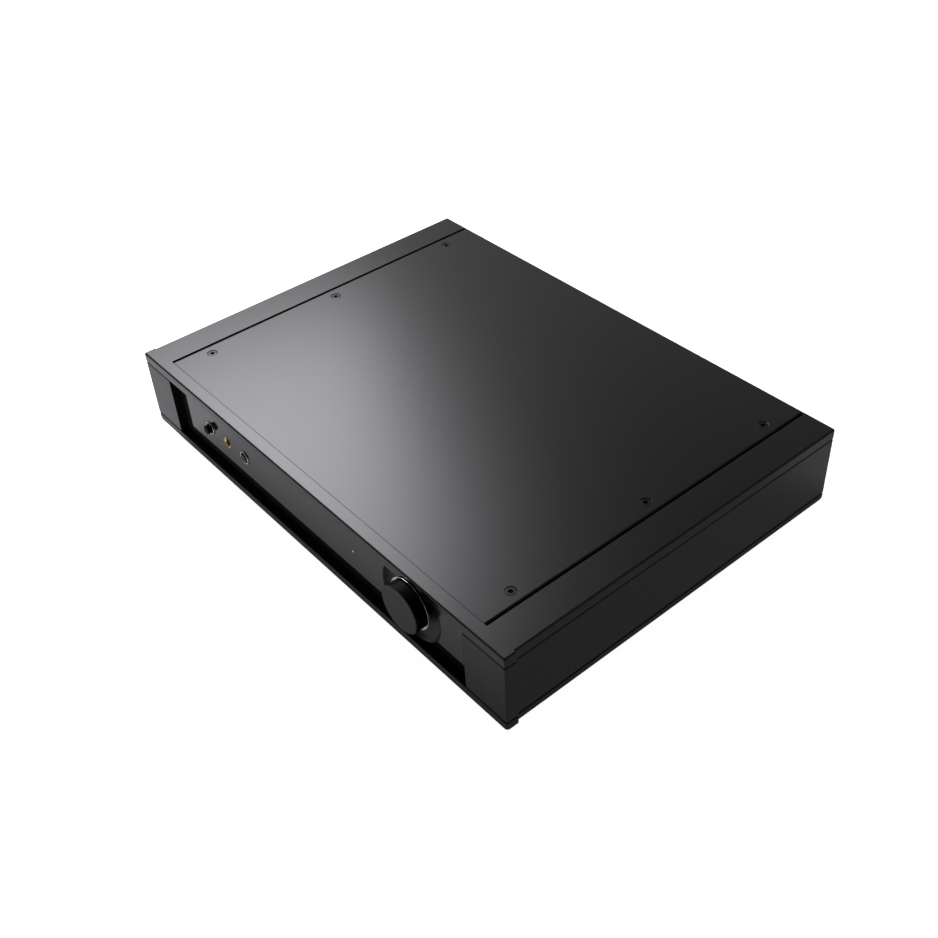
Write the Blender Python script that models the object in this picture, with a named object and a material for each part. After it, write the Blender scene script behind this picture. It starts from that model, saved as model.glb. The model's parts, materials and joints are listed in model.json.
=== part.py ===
"""Slim full-width integrated amplifier in a black metal case.

Units are metres. X runs along the front, Y from the front to the back and Z up.
The origin is on the ground, at the middle of the amplifier's width and depth.
"""
import math

import bmesh
import bpy
from mathutils import Vector

# Case outline
CASE_WIDTH = 0.430
CASE_DEPTH = 0.310
SIDE_STEP = 0.00115
BLOCK_DEPTH = 0.0097
CORNER_RADIUS = 0.001
REAR_HEEL_RADIUS = 0.004
EDGE_RADIUS = 0.0007

# Heights, from the ground up
FOOT_HEIGHT = 0.0154
BASE_EDGE_HEIGHT = 0.0049
WALL_HEIGHT = 0.0517
BAND_HEIGHT = 0.0077
LIP_DROP = 0.0015

# Sheet and wall thicknesses
FLOOR_THICKNESS = 0.002
WALL_THICKNESS = 0.0035
COVER_THICKNESS = 0.003
FASCIA_THICKNESS = 0.004
WING_LIP = 0.002

# Clearances
SEAT_GAP = 0.0003
STEM_GAP = 0.0004
CUT_OVERRUN = 0.001
JOIN_OVERLAP = 0.001

# Top cover and its slots
COVER_SIDE_INSET = 0.0290
SLOT_WIDTH = 0.0020
STRIP_DEPTH = 0.010
SLOT_TAB_DEPTH = 0.0025

# Cover screws
SCREW_INSET = 0.0100
SCREW_FIRST_SETBACK = 0.0395
SCREW_LAST_SETBACK = 0.0321
SCREW_ROWS = 3
SCREW_HEAD_RADIUS = 0.0037
SCREW_SHANK_RADIUS = 0.0019
SCREW_LENGTH = 0.012
SCREW_HEAD_EDGE = 0.0004
SCREW_SUNK = 0.0003
SOCKET_RADIUS = 0.0016
SOCKET_DEPTH = 0.0013

# Front: the fascia, the recess behind it and the two corner posts
FASCIA_DROP = 0.0303
LEFT_POST_WIDTH = 0.0364
LEFT_CHANNEL_WIDTH = 0.0266
RIGHT_POST_WIDTH = 0.0387
RECESS_DEPTH = 0.0065
INNER_PANEL_THICKNESS = 0.0025

# Controls, placed from the case's top and sides and from each other
CONTROL_DROP = 0.0214
KNOB_INSET = 0.0898
POWER_INSET = 0.0950
HEADPHONE_SPACING = 0.0240
SELECTOR_SPACING = 0.0242
STATUS_SPACING = 0.0629
REMOTE_SPACING = 0.0139

# Volume knob, its ring and the dished well round it
KNOB_RADIUS = 0.0178
KNOB_PROUD = 0.010
KNOB_EDGE_RADIUS = 0.0009
KNOB_HUB_RADIUS = 0.0130
KNOB_HUB_DEPTH = 0.0030
KNOB_HOLLOW_RADIUS = 0.0110
KNOB_FACE_THICKNESS = 0.0045
KNOB_BOSS_RADIUS = 0.0055
RING_RADIUS = 0.0193
RING_THICKNESS = 0.0012
RING_RUNNING_GAP = 0.0004
WELL_RADIUS = 0.0295
WELL_FLOOR_RADIUS = 0.0200
WELL_DEPTH = 0.0044
WELL_LIP = 0.0006
WELL_CURVE_STEPS = 4
SHAFT_RADIUS = 0.003
SHAFT_IN_KNOB = 0.0065
SHAFT_IN_POT = 0.0090
BUSH_RADIUS = 0.0046
BUSH_PROUD = 0.0006
POT_WIDTH = 0.026
MOTOR_RADIUS = 0.0115
MOTOR_LENGTH = 0.024

# Push buttons
BUTTON_RADIUS = 0.0034
BUTTON_RING_RADIUS = 0.0052
BUTTON_RING_WALL = 0.0007
BUTTON_RING_PROUD = 0.0009
BUTTON_RING_LENGTH = 0.0045
BUTTON_HEAD_DEPTH = 0.0034
BUTTON_EDGE = 0.0004
POWER_PROUD = 0.0042
SELECTOR_PROUD = 0.0016
POWER_TRAVEL = 0.0025
SELECTOR_TRAVEL = 0.0010
STEM_RADIUS = 0.0022
STEM_IN_SWITCH = 0.0030
SWITCH_WIDTH = 0.012

# Headphone socket
JACK_BORE_RADIUS = 0.00325
JACK_BARREL_RADIUS = 0.0044
JACK_NUT_RADIUS = 0.0050
JACK_NUT_PROUD = 0.0003
JACK_BODY_WIDTH = 0.016
JACK_BORE_LENGTH = 0.0240

# Indicator pipes
PIPE_RADIUS = 0.0009

# Control board behind the front
BOARD_THICKNESS = 0.0016
CONTROL_BOARD_SETBACK = 0.0260
CONTROL_BOARD_HEIGHT = 0.030
CONTROL_BOARD_MARGIN = 0.018

# Heat sinks, one along each side under the slots
SINK_SPINE_THICKNESS = 0.010
FIN_SIDE_GAP = 0.00435
SINK_FIN_THICKNESS = 0.0016
SINK_FIN_PITCH = 0.012
SINK_FRONT_SETBACK = 0.030
SINK_REAR_SETBACK = 0.020
SINK_HOLE_DEPTH = 0.013
FIN_CLEARANCE = 0.001

# Ventilation slots in the base, under the fins
VENT_WIDTH = 0.003
VENT_COUNT = 7
VENT_INSET = 0.002

# Main board and its stand-offs
STANDOFF_HEIGHT = 0.008
STANDOFF_RADIUS = 0.003
STANDOFF_INSET = 0.012
BOARD_FRONT_GAP = 0.013
MAIN_BOARD_REAR_GAP = 0.006
BOARD_SIDE_GAP = 0.001

# Output transistors on the sinks
TRANSISTOR_WIDTH = 0.0156
TRANSISTOR_HEIGHT = 0.0200
TRANSISTOR_THICKNESS = 0.0048
TRANSISTOR_SHARES = (0.2433, 0.5856)
TRANSISTOR_LIFT = 0.014
LEG_WIDTH = 0.0012
LEG_PITCH = 0.0054

# Reservoir capacitors
CAPACITOR_RADIUS = 0.0175
CAPACITOR_HEIGHT = 0.040
CAPACITOR_EDGE = 0.0015
CAPACITOR_GROOVE = 0.0008
CAPACITOR_PITCH = 0.044
CAPACITOR_SHARE = 0.2433

# Toroidal transformer
TOROID_RADIUS = 0.055
TOROID_HOLE_RADIUS = 0.016
TOROID_HEIGHT = 0.042
TOROID_ROUNDING = 0.011
TOROID_INSET = 0.135
TOROID_SETBACK = 0.100
PAD_THICKNESS = 0.002
CLAMP_RADIUS = 0.038
CLAMP_THICKNESS = 0.0015
CLAMP_DISH = 0.0020
BOLT_RADIUS = 0.003
BOLT_HEAD_RADIUS = 0.0055
BOLT_HEAD_HEIGHT = 0.004

# Bridge rectifier on the base
RECTIFIER_WIDTH = 0.0285
RECTIFIER_HEIGHT = 0.010
RECTIFIER_SPACING = 0.125
RECTIFIER_SETBACK = 0.110
RECTIFIER_CHAMFER = 0.004
BLADE_HEIGHT = 0.007
BLADE_WIDTH = 0.0063
BLADE_THICKNESS = 0.0008
BLADE_INSET = 0.006

# Rear panel
REAR_PANEL_THICKNESS = 0.0025
REAR_RECESS = 0.002

# Mains inlet and its fuse drawer
INLET_SINK_GAP = 0.00725
INLET_DROP = 0.0320
INLET_BODY_WIDTH = 0.0275
INLET_BODY_HEIGHT = 0.0300
INLET_BODY_LENGTH = 0.0300
INLET_FLANGE = 0.0020
INLET_FLANGE_THICKNESS = 0.0020
PLUG_WIDTH = 0.0240
PLUG_HEIGHT = 0.0165
PLUG_DEPTH = 0.0165
PLUG_CHAMFER = 0.0045
PLUG_FLOOR_WALL = 0.0015
PIN_THICKNESS = 0.002
PIN_HEIGHT = 0.004
PIN_LENGTH = 0.0135
PIN_SPREAD = 0.007
PIN_FLOOR_GAP = 0.003
DRAWER_WIDTH = 0.0220
DRAWER_HEIGHT = 0.0070
DRAWER_LENGTH = 0.0220
DRAWER_FACE = 0.0012
DRAWER_WALL = 0.0012
DRAWER_TOP_WALL = 0.0015
DRAWER_GRIP = 0.0010

# Line input sockets, in two blocks
SOCKET_COLUMNS = 3
SOCKET_PITCH = 0.0170
SOCKET_ROW_PITCH = 0.0180
SOCKET_INLET_SPACING = 0.052
SOCKET_BLOCK_SPACING = 0.064
SOCKET_BARREL_RADIUS = 0.0042
SOCKET_BARREL_LENGTH = 0.0095
SOCKET_PIN_RADIUS = 0.0016
SOCKET_PIN_DEPTH = 0.0080
SOCKET_BLOCK_DEPTH = 0.0110
SOCKET_BLOCK_MARGIN = 0.0070

# Loudspeaker terminals
TERMINAL_COUNT = 4
TERMINAL_SIDE_INSET = 0.019
TERMINAL_PITCH = 0.019
TERMINAL_PAIR_GAP = 0.007
TERMINAL_LIFT = 0.0121
TERMINAL_BUSH_RADIUS = 0.0048
TERMINAL_FLANGE_RADIUS = 0.0072
TERMINAL_FLANGE_THICKNESS = 0.0030
TERMINAL_SPINDLE_RADIUS = 0.0030
TERMINAL_SPINDLE_LENGTH = 0.0150
TERMINAL_TAIL_RADIUS = 0.0024
TERMINAL_TAIL_LENGTH = 0.0100
TERMINAL_NUT_RADIUS = 0.0065
TERMINAL_NUT_THICKNESS = 0.0030
CAP_RADIUS = 0.0064
CAP_WAIST_RADIUS = 0.0056
CAP_LENGTH = 0.0180
CAP_EDGE = 0.0008
CAP_FLUTE = 0.0005

# Feet
FOOT_RADIUS = 0.0225
FOOT_WAIST = 0.0012
FOOT_EDGE = 0.0015
FOOT_SIDE_INSET = 0.060
FOOT_FRONT_SETBACK = 0.042
FOOT_REAR_SETBACK = 0.042
FOOT_RECESS_RADIUS = 0.0075
FOOT_RECESS_DEPTH = 0.0045

# Facets
TINY_SIDES = 12
SMALL_SIDES = 16
ROUND_SIDES = 20
FINE_SIDES = 40
CORNER_STEPS = 2
ROUND_PROFILE_SHARE = 0.5
SMOOTH_ANGLE = math.radians(35)

# Levels worked out from the sizes above
BASE_BOTTOM = FOOT_HEIGHT + SEAT_GAP
FLOOR_TOP = BASE_BOTTOM + FLOOR_THICKNESS
BASE_TOP = BASE_BOTTOM + BASE_EDGE_HEIGHT
WALL_TOP = BASE_TOP + WALL_HEIGHT
TOP = WALL_TOP + BAND_HEIGHT
COVER_BOTTOM = TOP - COVER_THICKNESS
FASCIA_BOTTOM = WALL_TOP - FASCIA_DROP
CONTROL_LEVEL = TOP - CONTROL_DROP
MAIN_BOARD_BOTTOM = FLOOR_TOP + STANDOFF_HEIGHT + SEAT_GAP
MAIN_BOARD_TOP = MAIN_BOARD_BOTTOM + BOARD_THICKNESS
TERMINAL_LEVEL = BASE_TOP + TERMINAL_LIFT

# Places along the depth
TERMINAL_PROUD = TERMINAL_FLANGE_THICKNESS + SEAT_GAP + CAP_LENGTH
OVERALL_DEPTH = KNOB_PROUD + CASE_DEPTH - REAR_RECESS + TERMINAL_PROUD
FRONT = KNOB_PROUD - OVERALL_DEPTH / 2
BACK = FRONT + CASE_DEPTH
BLOCK_BACK = FRONT + BLOCK_DEPTH
STRIP_BACK = FRONT + STRIP_DEPTH
FASCIA_BACK = FRONT + FASCIA_THICKNESS
INNER_FRONT = FRONT + RECESS_DEPTH
INNER_BACK = INNER_FRONT + INNER_PANEL_THICKNESS
CONTROL_BOARD_FRONT = FRONT + CONTROL_BOARD_SETBACK
CONTROL_BOARD_BACK = CONTROL_BOARD_FRONT + BOARD_THICKNESS
REAR_FACE = BACK - REAR_RECESS
REAR_INNER = REAR_FACE - REAR_PANEL_THICKNESS
SCREW_FIRST = FRONT + SCREW_FIRST_SETBACK
SCREW_PITCH = (BACK - SCREW_LAST_SETBACK - SCREW_FIRST) / (SCREW_ROWS - 1)
MAIN_BOARD_FRONT = FRONT + TOROID_SETBACK + TOROID_RADIUS + BOARD_FRONT_GAP
MAIN_BOARD_BACK = REAR_INNER - MAIN_BOARD_REAR_GAP
MAIN_BOARD_DEPTH = MAIN_BOARD_BACK - MAIN_BOARD_FRONT

# Places along the width
BLOCK_SIDE = CASE_WIDTH / 2
CASE_SIDE = BLOCK_SIDE - SIDE_STEP
WALL_INNER = CASE_SIDE - WALL_THICKNESS
COVER_HALF_WIDTH = BLOCK_SIDE - COVER_SIDE_INSET
SLOT_OUTER = COVER_HALF_WIDTH + SLOT_WIDTH
SCREW_PLACE = COVER_HALF_WIDTH - SCREW_INSET
SPINE_INNER = SCREW_PLACE - SINK_SPINE_THICKNESS / 2
SPINE_OUTER = SCREW_PLACE + SINK_SPINE_THICKNESS / 2
FIN_END = WALL_INNER - FIN_SIDE_GAP
FASCIA_LEFT = BLOCK_SIDE - LEFT_POST_WIDTH - LEFT_CHANNEL_WIDTH
KNOB_PLACE = BLOCK_SIDE - KNOB_INSET
POWER_PLACE = -BLOCK_SIDE + POWER_INSET
HEADPHONE_PLACE = POWER_PLACE + HEADPHONE_SPACING
SELECTOR_PLACE = HEADPHONE_PLACE + SELECTOR_SPACING
STATUS_PLACE = KNOB_PLACE - STATUS_SPACING
REMOTE_PLACE = STATUS_PLACE - REMOTE_SPACING
TOROID_PLACE = -BLOCK_SIDE + TOROID_INSET
RECTIFIER_PLACE = TOROID_PLACE + RECTIFIER_SPACING
INLET_PLACE = -SPINE_INNER + INLET_SINK_GAP + INLET_BODY_WIDTH / 2
FIRST_SOCKET_PLACE = INLET_PLACE + SOCKET_INLET_SPACING
SECOND_SOCKET_PLACE = FIRST_SOCKET_PLACE + SOCKET_BLOCK_SPACING
TERMINAL_OUTER_PLACE = BLOCK_SIDE - TERMINAL_SIDE_INSET


def make_material(name, color, roughness, metallic):
    """Returns a plain finish with the given colour, roughness and metallic value."""
    paint = bpy.data.materials.new(name)
    paint.use_nodes = True
    shader = paint.node_tree.nodes["Principled BSDF"]
    shader.inputs["Base Color"].default_value = (*color, 1)
    shader.inputs["Roughness"].default_value = roughness
    shader.inputs["Metallic"].default_value = metallic
    paint.diffuse_color = (*color, 1)
    return paint


def world_point(u, v, w, axis):
    """Turns a point of an outline at height w along the Z or Y axis into X, Y and Z."""
    if axis == "Z":
        return (u, v, w)
    return (u, w, v)


def add_prism(bm, outline, low, high, axis="Z"):
    """Adds a closed prism to a mesh: an outline pushed from low to high along an axis."""
    bottom = [bm.verts.new(world_point(u, v, low, axis)) for u, v in outline]
    face = bm.faces.new(bottom)
    pushed = bmesh.ops.extrude_face_region(bm, geom=[face])
    corners = [item for item in pushed["geom"] if isinstance(item, bmesh.types.BMVert)]
    shift = Vector(world_point(0, 0, high, axis)) - Vector(world_point(0, 0, low, axis))
    bmesh.ops.translate(bm, verts=corners, vec=shift)


def prism(outline, low, high, axis="Z"):
    """Returns a mesh with one prism in it."""
    bm = bmesh.new()
    add_prism(bm, outline, low, high, axis)
    return bm


def rectangle(u_low, u_high, v_low, v_high):
    """Returns the four corners of a rectangle."""
    return [(u_low, v_low), (u_high, v_low), (u_high, v_high), (u_low, v_high)]


def circle(u, v, radius, sides):
    """Returns the points of a circle."""
    turns = [2 * math.pi * step / sides for step in range(sides)]
    return [(u + radius * math.cos(turn), v + radius * math.sin(turn)) for turn in turns]


def add_turned(bm, profile, sides, axis="Z", closed=False, flute=0, fluted_rows=()):
    """Adds a turned shape: (radius, height) pairs carried round an axis through the origin.

    A radius of zero closes an end. A closed profile makes a ring. Rows named in fluted_rows
    have every other point drawn in by the flute's depth.
    """
    rows = []
    for index, (radius, height) in enumerate(profile):
        if radius == 0:
            rows.append([bm.verts.new(world_point(0, 0, height, axis))])
            continue
        row = []
        for step in range(sides):
            turn = 2 * math.pi * step / sides
            reach = radius - (flute if index in fluted_rows and step % 2 else 0)
            u = reach * math.cos(turn)
            v = reach * math.sin(turn)
            row.append(bm.verts.new(world_point(u, v, height, axis)))
        rows.append(row)
    pairs = list(zip(rows, rows[1:]))
    if closed:
        pairs.append((rows[-1], rows[0]))
    for lower, upper in pairs:
        for step in range(sides):
            after = (step + 1) % sides
            if len(lower) == 1:
                bm.faces.new((lower[0], upper[step], upper[after]))
            elif len(upper) == 1:
                bm.faces.new((lower[step], lower[after], upper[0]))
            else:
                bm.faces.new((lower[step], lower[after], upper[after], upper[step]))


def turned(profile, sides, axis="Z", closed=False):
    """Returns a mesh with one turned shape in it."""
    bm = bmesh.new()
    add_turned(bm, profile, sides, axis, closed)
    return bm


def round_edges(bm, is_picked, radius, steps):
    """Rounds the edges for whose two ends is_picked is true."""
    edges = [edge for edge in bm.edges if is_picked(edge.verts[0].co, edge.verts[1].co)]
    bmesh.ops.bevel(bm, geom=edges, offset=radius, offset_type="OFFSET", segments=steps,
                    profile=ROUND_PROFILE_SHARE, affect="EDGES", clamp_overlap=True)


def is_upright(first, second):
    """Is true for an edge that runs straight up."""
    flat = abs(first.x - second.x) + abs(first.y - second.y)
    return flat < SEAT_GAP < abs(first.z - second.z)


def make_object(name, bm, paint, origin=(0, 0, 0)):
    """Makes an object from a mesh, and moves its origin to a point of the mesh's own frame."""
    bmesh.ops.recalc_face_normals(bm, faces=bm.faces)
    bmesh.ops.translate(bm, verts=bm.verts, vec=-Vector(origin))
    mesh = bpy.data.meshes.new(name)
    bm.to_mesh(mesh)
    bm.free()
    mesh.materials.append(paint)
    mesh.shade_smooth()
    mesh.set_sharp_from_angle(angle=SMOOTH_ANGLE)
    item = bpy.data.objects.new(name, mesh)
    item.location = origin
    bpy.context.scene.collection.objects.link(item)
    return item


def place(name, bm, paint, location, parent=None):
    """Makes an object from a mesh built round its own origin, and puts it at a location."""
    item = make_object(name, bm, paint)
    item.location = location
    if parent:
        item.parent = parent
        item.location = Vector(location) - parent.location
    return item


def make_axis(name, location):
    """Makes an empty on a joint's axis, for the moving pieces to hang on."""
    empty = bpy.data.objects.new(name, None)
    empty.location = location
    bpy.context.scene.collection.objects.link(empty)
    return empty


def combine(item, bm, name, operation, location=(0, 0, 0)):
    """Cuts a helper mesh out of an object, or joins it on."""
    bmesh.ops.recalc_face_normals(bm, faces=bm.faces)
    mesh = bpy.data.meshes.new(name)
    bm.to_mesh(mesh)
    bm.free()
    helper = bpy.data.objects.new(name, mesh)
    helper.location = location
    helper.hide_render = True
    helper.display_type = "WIRE"
    bpy.context.scene.collection.objects.link(helper)
    change = item.modifiers.new(name, "BOOLEAN")
    change.operation = operation
    change.solver = "EXACT"
    change.object = helper


def cut(item, bm, name, location=(0, 0, 0)):
    """Cuts a helper mesh out of an object."""
    combine(item, bm, name, "DIFFERENCE", location)


def join(item, bm, name, location=(0, 0, 0)):
    """Joins a helper mesh to an object."""
    combine(item, bm, name, "UNION", location)


def screw_places():
    """Returns the number and the plan place of each cover screw."""
    places = []
    for side in (-1, 1):
        for row in range(SCREW_ROWS):
            places.append((len(places) + 1, side * SCREW_PLACE, SCREW_FIRST + row * SCREW_PITCH))
    return places


def terminal_places():
    """Returns the number and the place along the width of each loudspeaker terminal."""
    places = []
    for index in range(TERMINAL_COUNT):
        shift = index * TERMINAL_PITCH + (index // 2) * TERMINAL_PAIR_GAP
        places.append((index + 1, TERMINAL_OUTER_PLACE - shift))
    return places


def socket_levels():
    """Returns the heights of the two rows of line sockets."""
    lower = MAIN_BOARD_TOP + SEAT_GAP + SOCKET_BLOCK_MARGIN
    return (lower, lower + SOCKET_ROW_PITCH)


def socket_columns(middle):
    """Returns the places of one block's columns of sockets along the width."""
    first = middle - SOCKET_PITCH * (SOCKET_COLUMNS - 1) / 2
    return [first + column * SOCKET_PITCH for column in range(SOCKET_COLUMNS)]


def inlet_level():
    """Returns the height of the middle of the mains inlet."""
    return TOP - INLET_DROP


def make_base_tray(paint):
    """Makes the shallow tray that carries everything, with its lower front lip."""
    outline = [
        (-BLOCK_SIDE, FRONT), (BLOCK_SIDE, FRONT), (BLOCK_SIDE, BLOCK_BACK), (CASE_SIDE, BLOCK_BACK),
        (CASE_SIDE, BACK), (-CASE_SIDE, BACK), (-CASE_SIDE, BLOCK_BACK), (-BLOCK_SIDE, BLOCK_BACK),
    ]
    bm = prism(outline, BASE_BOTTOM, BASE_TOP)
    round_edges(bm, is_rear_heel, REAR_HEEL_RADIUS, CORNER_STEPS * 2)
    round_edges(bm, is_front_corner, CORNER_RADIUS, CORNER_STEPS)
    tray = make_object("base_tray", bm, paint, (0, 0, BASE_BOTTOM))

    lip = prism(rectangle(-BLOCK_SIDE, BLOCK_SIDE, FRONT, BLOCK_BACK),
                BASE_BOTTOM - LIP_DROP, BASE_BOTTOM + JOIN_OVERLAP)
    round_edges(lip, is_front_corner, CORNER_RADIUS, CORNER_STEPS)
    join(tray, lip, "lip_of_base")

    pocket = prism(rectangle(-WALL_INNER, WALL_INNER, BLOCK_BACK, REAR_INNER - SEAT_GAP),
                   FLOOR_TOP, BASE_TOP + CUT_OVERRUN)
    cut(tray, pocket, "pocket_of_base")

    standoffs = bmesh.new()
    for x, y in standoff_places():
        add_prism(standoffs, circle(x, y, STANDOFF_RADIUS, TINY_SIDES),
                  FLOOR_TOP - JOIN_OVERLAP, FLOOR_TOP + STANDOFF_HEIGHT)
    join(tray, standoffs, "standoffs_of_base")

    vents = bmesh.new()
    start = FRONT + SINK_FRONT_SETBACK
    pitch = (BACK - SINK_REAR_SETBACK - start) / VENT_COUNT
    for side in (-1, 1):
        ends = sorted((side * (SPINE_OUTER + VENT_INSET), side * (FIN_END - VENT_INSET)))
        for index in range(VENT_COUNT):
            y = start + (index + 1 / 2) * pitch
            add_prism(vents, rectangle(*ends, y - VENT_WIDTH / 2, y + VENT_WIDTH / 2),
                      BASE_BOTTOM - CUT_OVERRUN, FLOOR_TOP + CUT_OVERRUN)
    cut(tray, vents, "vents_of_base")


def standoff_places():
    """Returns the plan places of the main board's stand-offs."""
    side = SPINE_INNER - BOARD_SIDE_GAP - STANDOFF_INSET
    front = MAIN_BOARD_FRONT + STANDOFF_INSET
    back = MAIN_BOARD_BACK - STANDOFF_INSET
    return [(x, y) for x in (-side, 0, side) for y in (front, back)]


def is_outer_corner(first, second):
    """Is true for the upright edges at the four corners of the case."""
    at_end = min(abs(first.y - FRONT), abs(first.y - BACK)) < SEAT_GAP
    at_side = abs(first.x) > CASE_SIDE - SEAT_GAP
    return is_upright(first, second) and at_end and at_side


def is_rear_heel(first, second):
    """Is true for the lower edge along the back of the base."""
    return all(abs(end.y - BACK) < SEAT_GAP and abs(end.z - BASE_BOTTOM) < SEAT_GAP
               for end in (first, second))


def is_front_corner(first, second):
    """Is true for the upright edges at the two front corners of the case."""
    return is_outer_corner(first, second) and abs(first.y - FRONT) < SEAT_GAP


def make_side_panel(name, side, post_width, paint):
    """Makes a side wall with the corner post at its front."""
    post_inner = BLOCK_SIDE - post_width
    outline = [
        (post_inner, FRONT), (BLOCK_SIDE, FRONT), (BLOCK_SIDE, BLOCK_BACK), (CASE_SIDE, BLOCK_BACK),
        (CASE_SIDE, BACK), (WALL_INNER, BACK), (WALL_INNER, BLOCK_BACK), (post_inner, BLOCK_BACK),
    ]
    bm = prism([(side * x, y) for x, y in outline], BASE_TOP + SEAT_GAP, WALL_TOP - SEAT_GAP)
    round_edges(bm, is_outer_corner, CORNER_RADIUS, CORNER_STEPS)
    round_edges(bm, lambda first, second: is_post_edge(first, second, post_inner),
                EDGE_RADIUS, CORNER_STEPS)
    make_object(name, bm, paint, (side * CASE_SIDE, FRONT, BASE_TOP))


def is_post_edge(first, second, post_inner):
    """Is true for the upright edge between a post's face and the recess beside it."""
    at_edge = abs(abs(first.x) - post_inner) < SEAT_GAP and abs(first.y - FRONT) < SEAT_GAP
    return is_upright(first, second) and at_edge


def make_upper_frame(paint):
    """Makes the top frame: the front strip, the two side wings and the fascia below the strip."""
    tab_inner = COVER_HALF_WIDTH + SEAT_GAP
    tab_front = BACK - SLOT_TAB_DEPTH
    right = [
        (BLOCK_SIDE, FRONT), (BLOCK_SIDE, BLOCK_BACK), (CASE_SIDE, BLOCK_BACK), (CASE_SIDE, BACK),
        (tab_inner, BACK), (tab_inner, tab_front), (SLOT_OUTER, tab_front), (SLOT_OUTER, STRIP_BACK),
    ]
    left = [(-x, y) for x, y in reversed(right)]
    bm = prism(right + left, WALL_TOP, TOP)
    round_edges(bm, is_outer_corner, CORNER_RADIUS, CORNER_STEPS)
    round_edges(bm, is_top_outer_edge, EDGE_RADIUS, CORNER_STEPS)
    frame = make_object("upper_frame", bm, paint, (0, FRONT, TOP))

    fascia = prism(rectangle(-FASCIA_LEFT, BLOCK_SIDE - RIGHT_POST_WIDTH - SEAT_GAP,
                             FASCIA_BOTTOM, WALL_TOP + JOIN_OVERLAP), FRONT, FASCIA_BACK, "Y")
    join(frame, fascia, "fascia_of_frame")

    hollows = bmesh.new()
    for side in (-1, 1):
        ends = sorted((side * (SLOT_OUTER + WING_LIP), side * WALL_INNER))
        add_prism(hollows, rectangle(*ends, BLOCK_BACK + WING_LIP, tab_front - WING_LIP),
                  WALL_TOP - CUT_OVERRUN, COVER_BOTTOM)
    cut(frame, hollows, "hollows_of_wings")

    openings = bmesh.new()
    front = FRONT - CUT_OVERRUN
    back = FASCIA_BACK + CUT_OVERRUN
    add_prism(openings, well_outline(WELL_RADIUS, WALL_TOP), front, back, "Y")
    for place_x, radius in front_holes():
        add_prism(openings, circle(place_x, CONTROL_LEVEL, radius, ROUND_SIDES), front, back, "Y")
    cut(frame, openings, "openings_of_fascia")


def is_top_outer_edge(first, second):
    """Is true for the edges where the case's top meets its front, sides and back."""
    at_top = min(first.z, second.z) > TOP - SEAT_GAP
    outer = all(abs(end.x) > CASE_SIDE - CORNER_RADIUS - SEAT_GAP
                or abs(end.y - FRONT) < SEAT_GAP for end in (first, second))
    return at_top and outer


def well_outline(radius, level):
    """Returns a circle round the knob, cut off straight at a level."""
    rise = level - CONTROL_LEVEL
    start = math.pi - math.asin(rise / radius)
    sweep = math.pi + 2 * math.asin(rise / radius)
    turns = [start + sweep * step / FINE_SIDES for step in range(FINE_SIDES + 1)]
    return [(KNOB_PLACE + radius * math.cos(turn), CONTROL_LEVEL + radius * math.sin(turn))
            for turn in turns]


def front_holes():
    """Returns the place and radius of each round hole in the fascia."""
    return [
        (POWER_PLACE, BUTTON_RING_RADIUS + SEAT_GAP),
        (SELECTOR_PLACE, BUTTON_RING_RADIUS + SEAT_GAP),
        (HEADPHONE_PLACE, JACK_NUT_RADIUS + SEAT_GAP),
        (STATUS_PLACE, PIPE_RADIUS + SEAT_GAP),
        (REMOTE_PLACE, PIPE_RADIUS + SEAT_GAP),
    ]


def make_top_cover(paint):
    """Makes the flat cover between the slots, with a countersunk hole for each screw."""
    front = STRIP_BACK + SEAT_GAP
    bm = prism(rectangle(-COVER_HALF_WIDTH, COVER_HALF_WIDTH, front, BACK), COVER_BOTTOM, TOP)
    round_edges(bm, lambda first, second: min(first.z, second.z) > TOP - SEAT_GAP,
                EDGE_RADIUS, CORNER_STEPS)
    cover = make_object("top_cover", bm, paint, (0, front, COVER_BOTTOM))

    hole = SCREW_SHANK_RADIUS + SEAT_GAP
    mouth = SCREW_HEAD_RADIUS + SEAT_GAP
    edge = SCREW_HEAD_EDGE + SEAT_GAP
    holes = bmesh.new()
    for _, x, y in screw_places():
        sink = bmesh.new()
        add_turned(sink, [(0, -COVER_THICKNESS - CUT_OVERRUN), (hole, -COVER_THICKNESS - CUT_OVERRUN),
                          (hole, -edge - mouth + hole), (mouth, -edge), (mouth, CUT_OVERRUN),
                          (0, CUT_OVERRUN)], SMALL_SIDES)
        bmesh.ops.translate(sink, verts=sink.verts, vec=(x, y, TOP))
        add_copy(holes, sink)
    cut(cover, holes, "holes_of_cover")


def add_copy(bm, other):
    """Adds one mesh to another, and frees the second."""
    mesh = bpy.data.meshes.new("copied")
    other.to_mesh(mesh)
    other.free()
    bm.from_mesh(mesh)
    bpy.data.meshes.remove(mesh)


def make_cover_screws(paint):
    """Makes the countersunk screws that hold the cover to the heat sinks."""
    for number, x, y in screw_places():
        profile = [(0, 0), (SCREW_HEAD_RADIUS, 0), (SCREW_HEAD_RADIUS, -SCREW_HEAD_EDGE),
                   (SCREW_SHANK_RADIUS, -SCREW_HEAD_EDGE - SCREW_HEAD_RADIUS + SCREW_SHANK_RADIUS),
                   (SCREW_SHANK_RADIUS, -SCREW_LENGTH), (0, -SCREW_LENGTH)]
        screw = place(f"cover_screw_{number}", turned(profile, SMALL_SIDES), paint,
                      (x, y, TOP - SCREW_SUNK))
        key = prism(circle(0, 0, SOCKET_RADIUS, 6), -SOCKET_DEPTH, CUT_OVERRUN)
        cut(screw, key, f"key_of_screw_{number}", screw.location)


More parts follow.
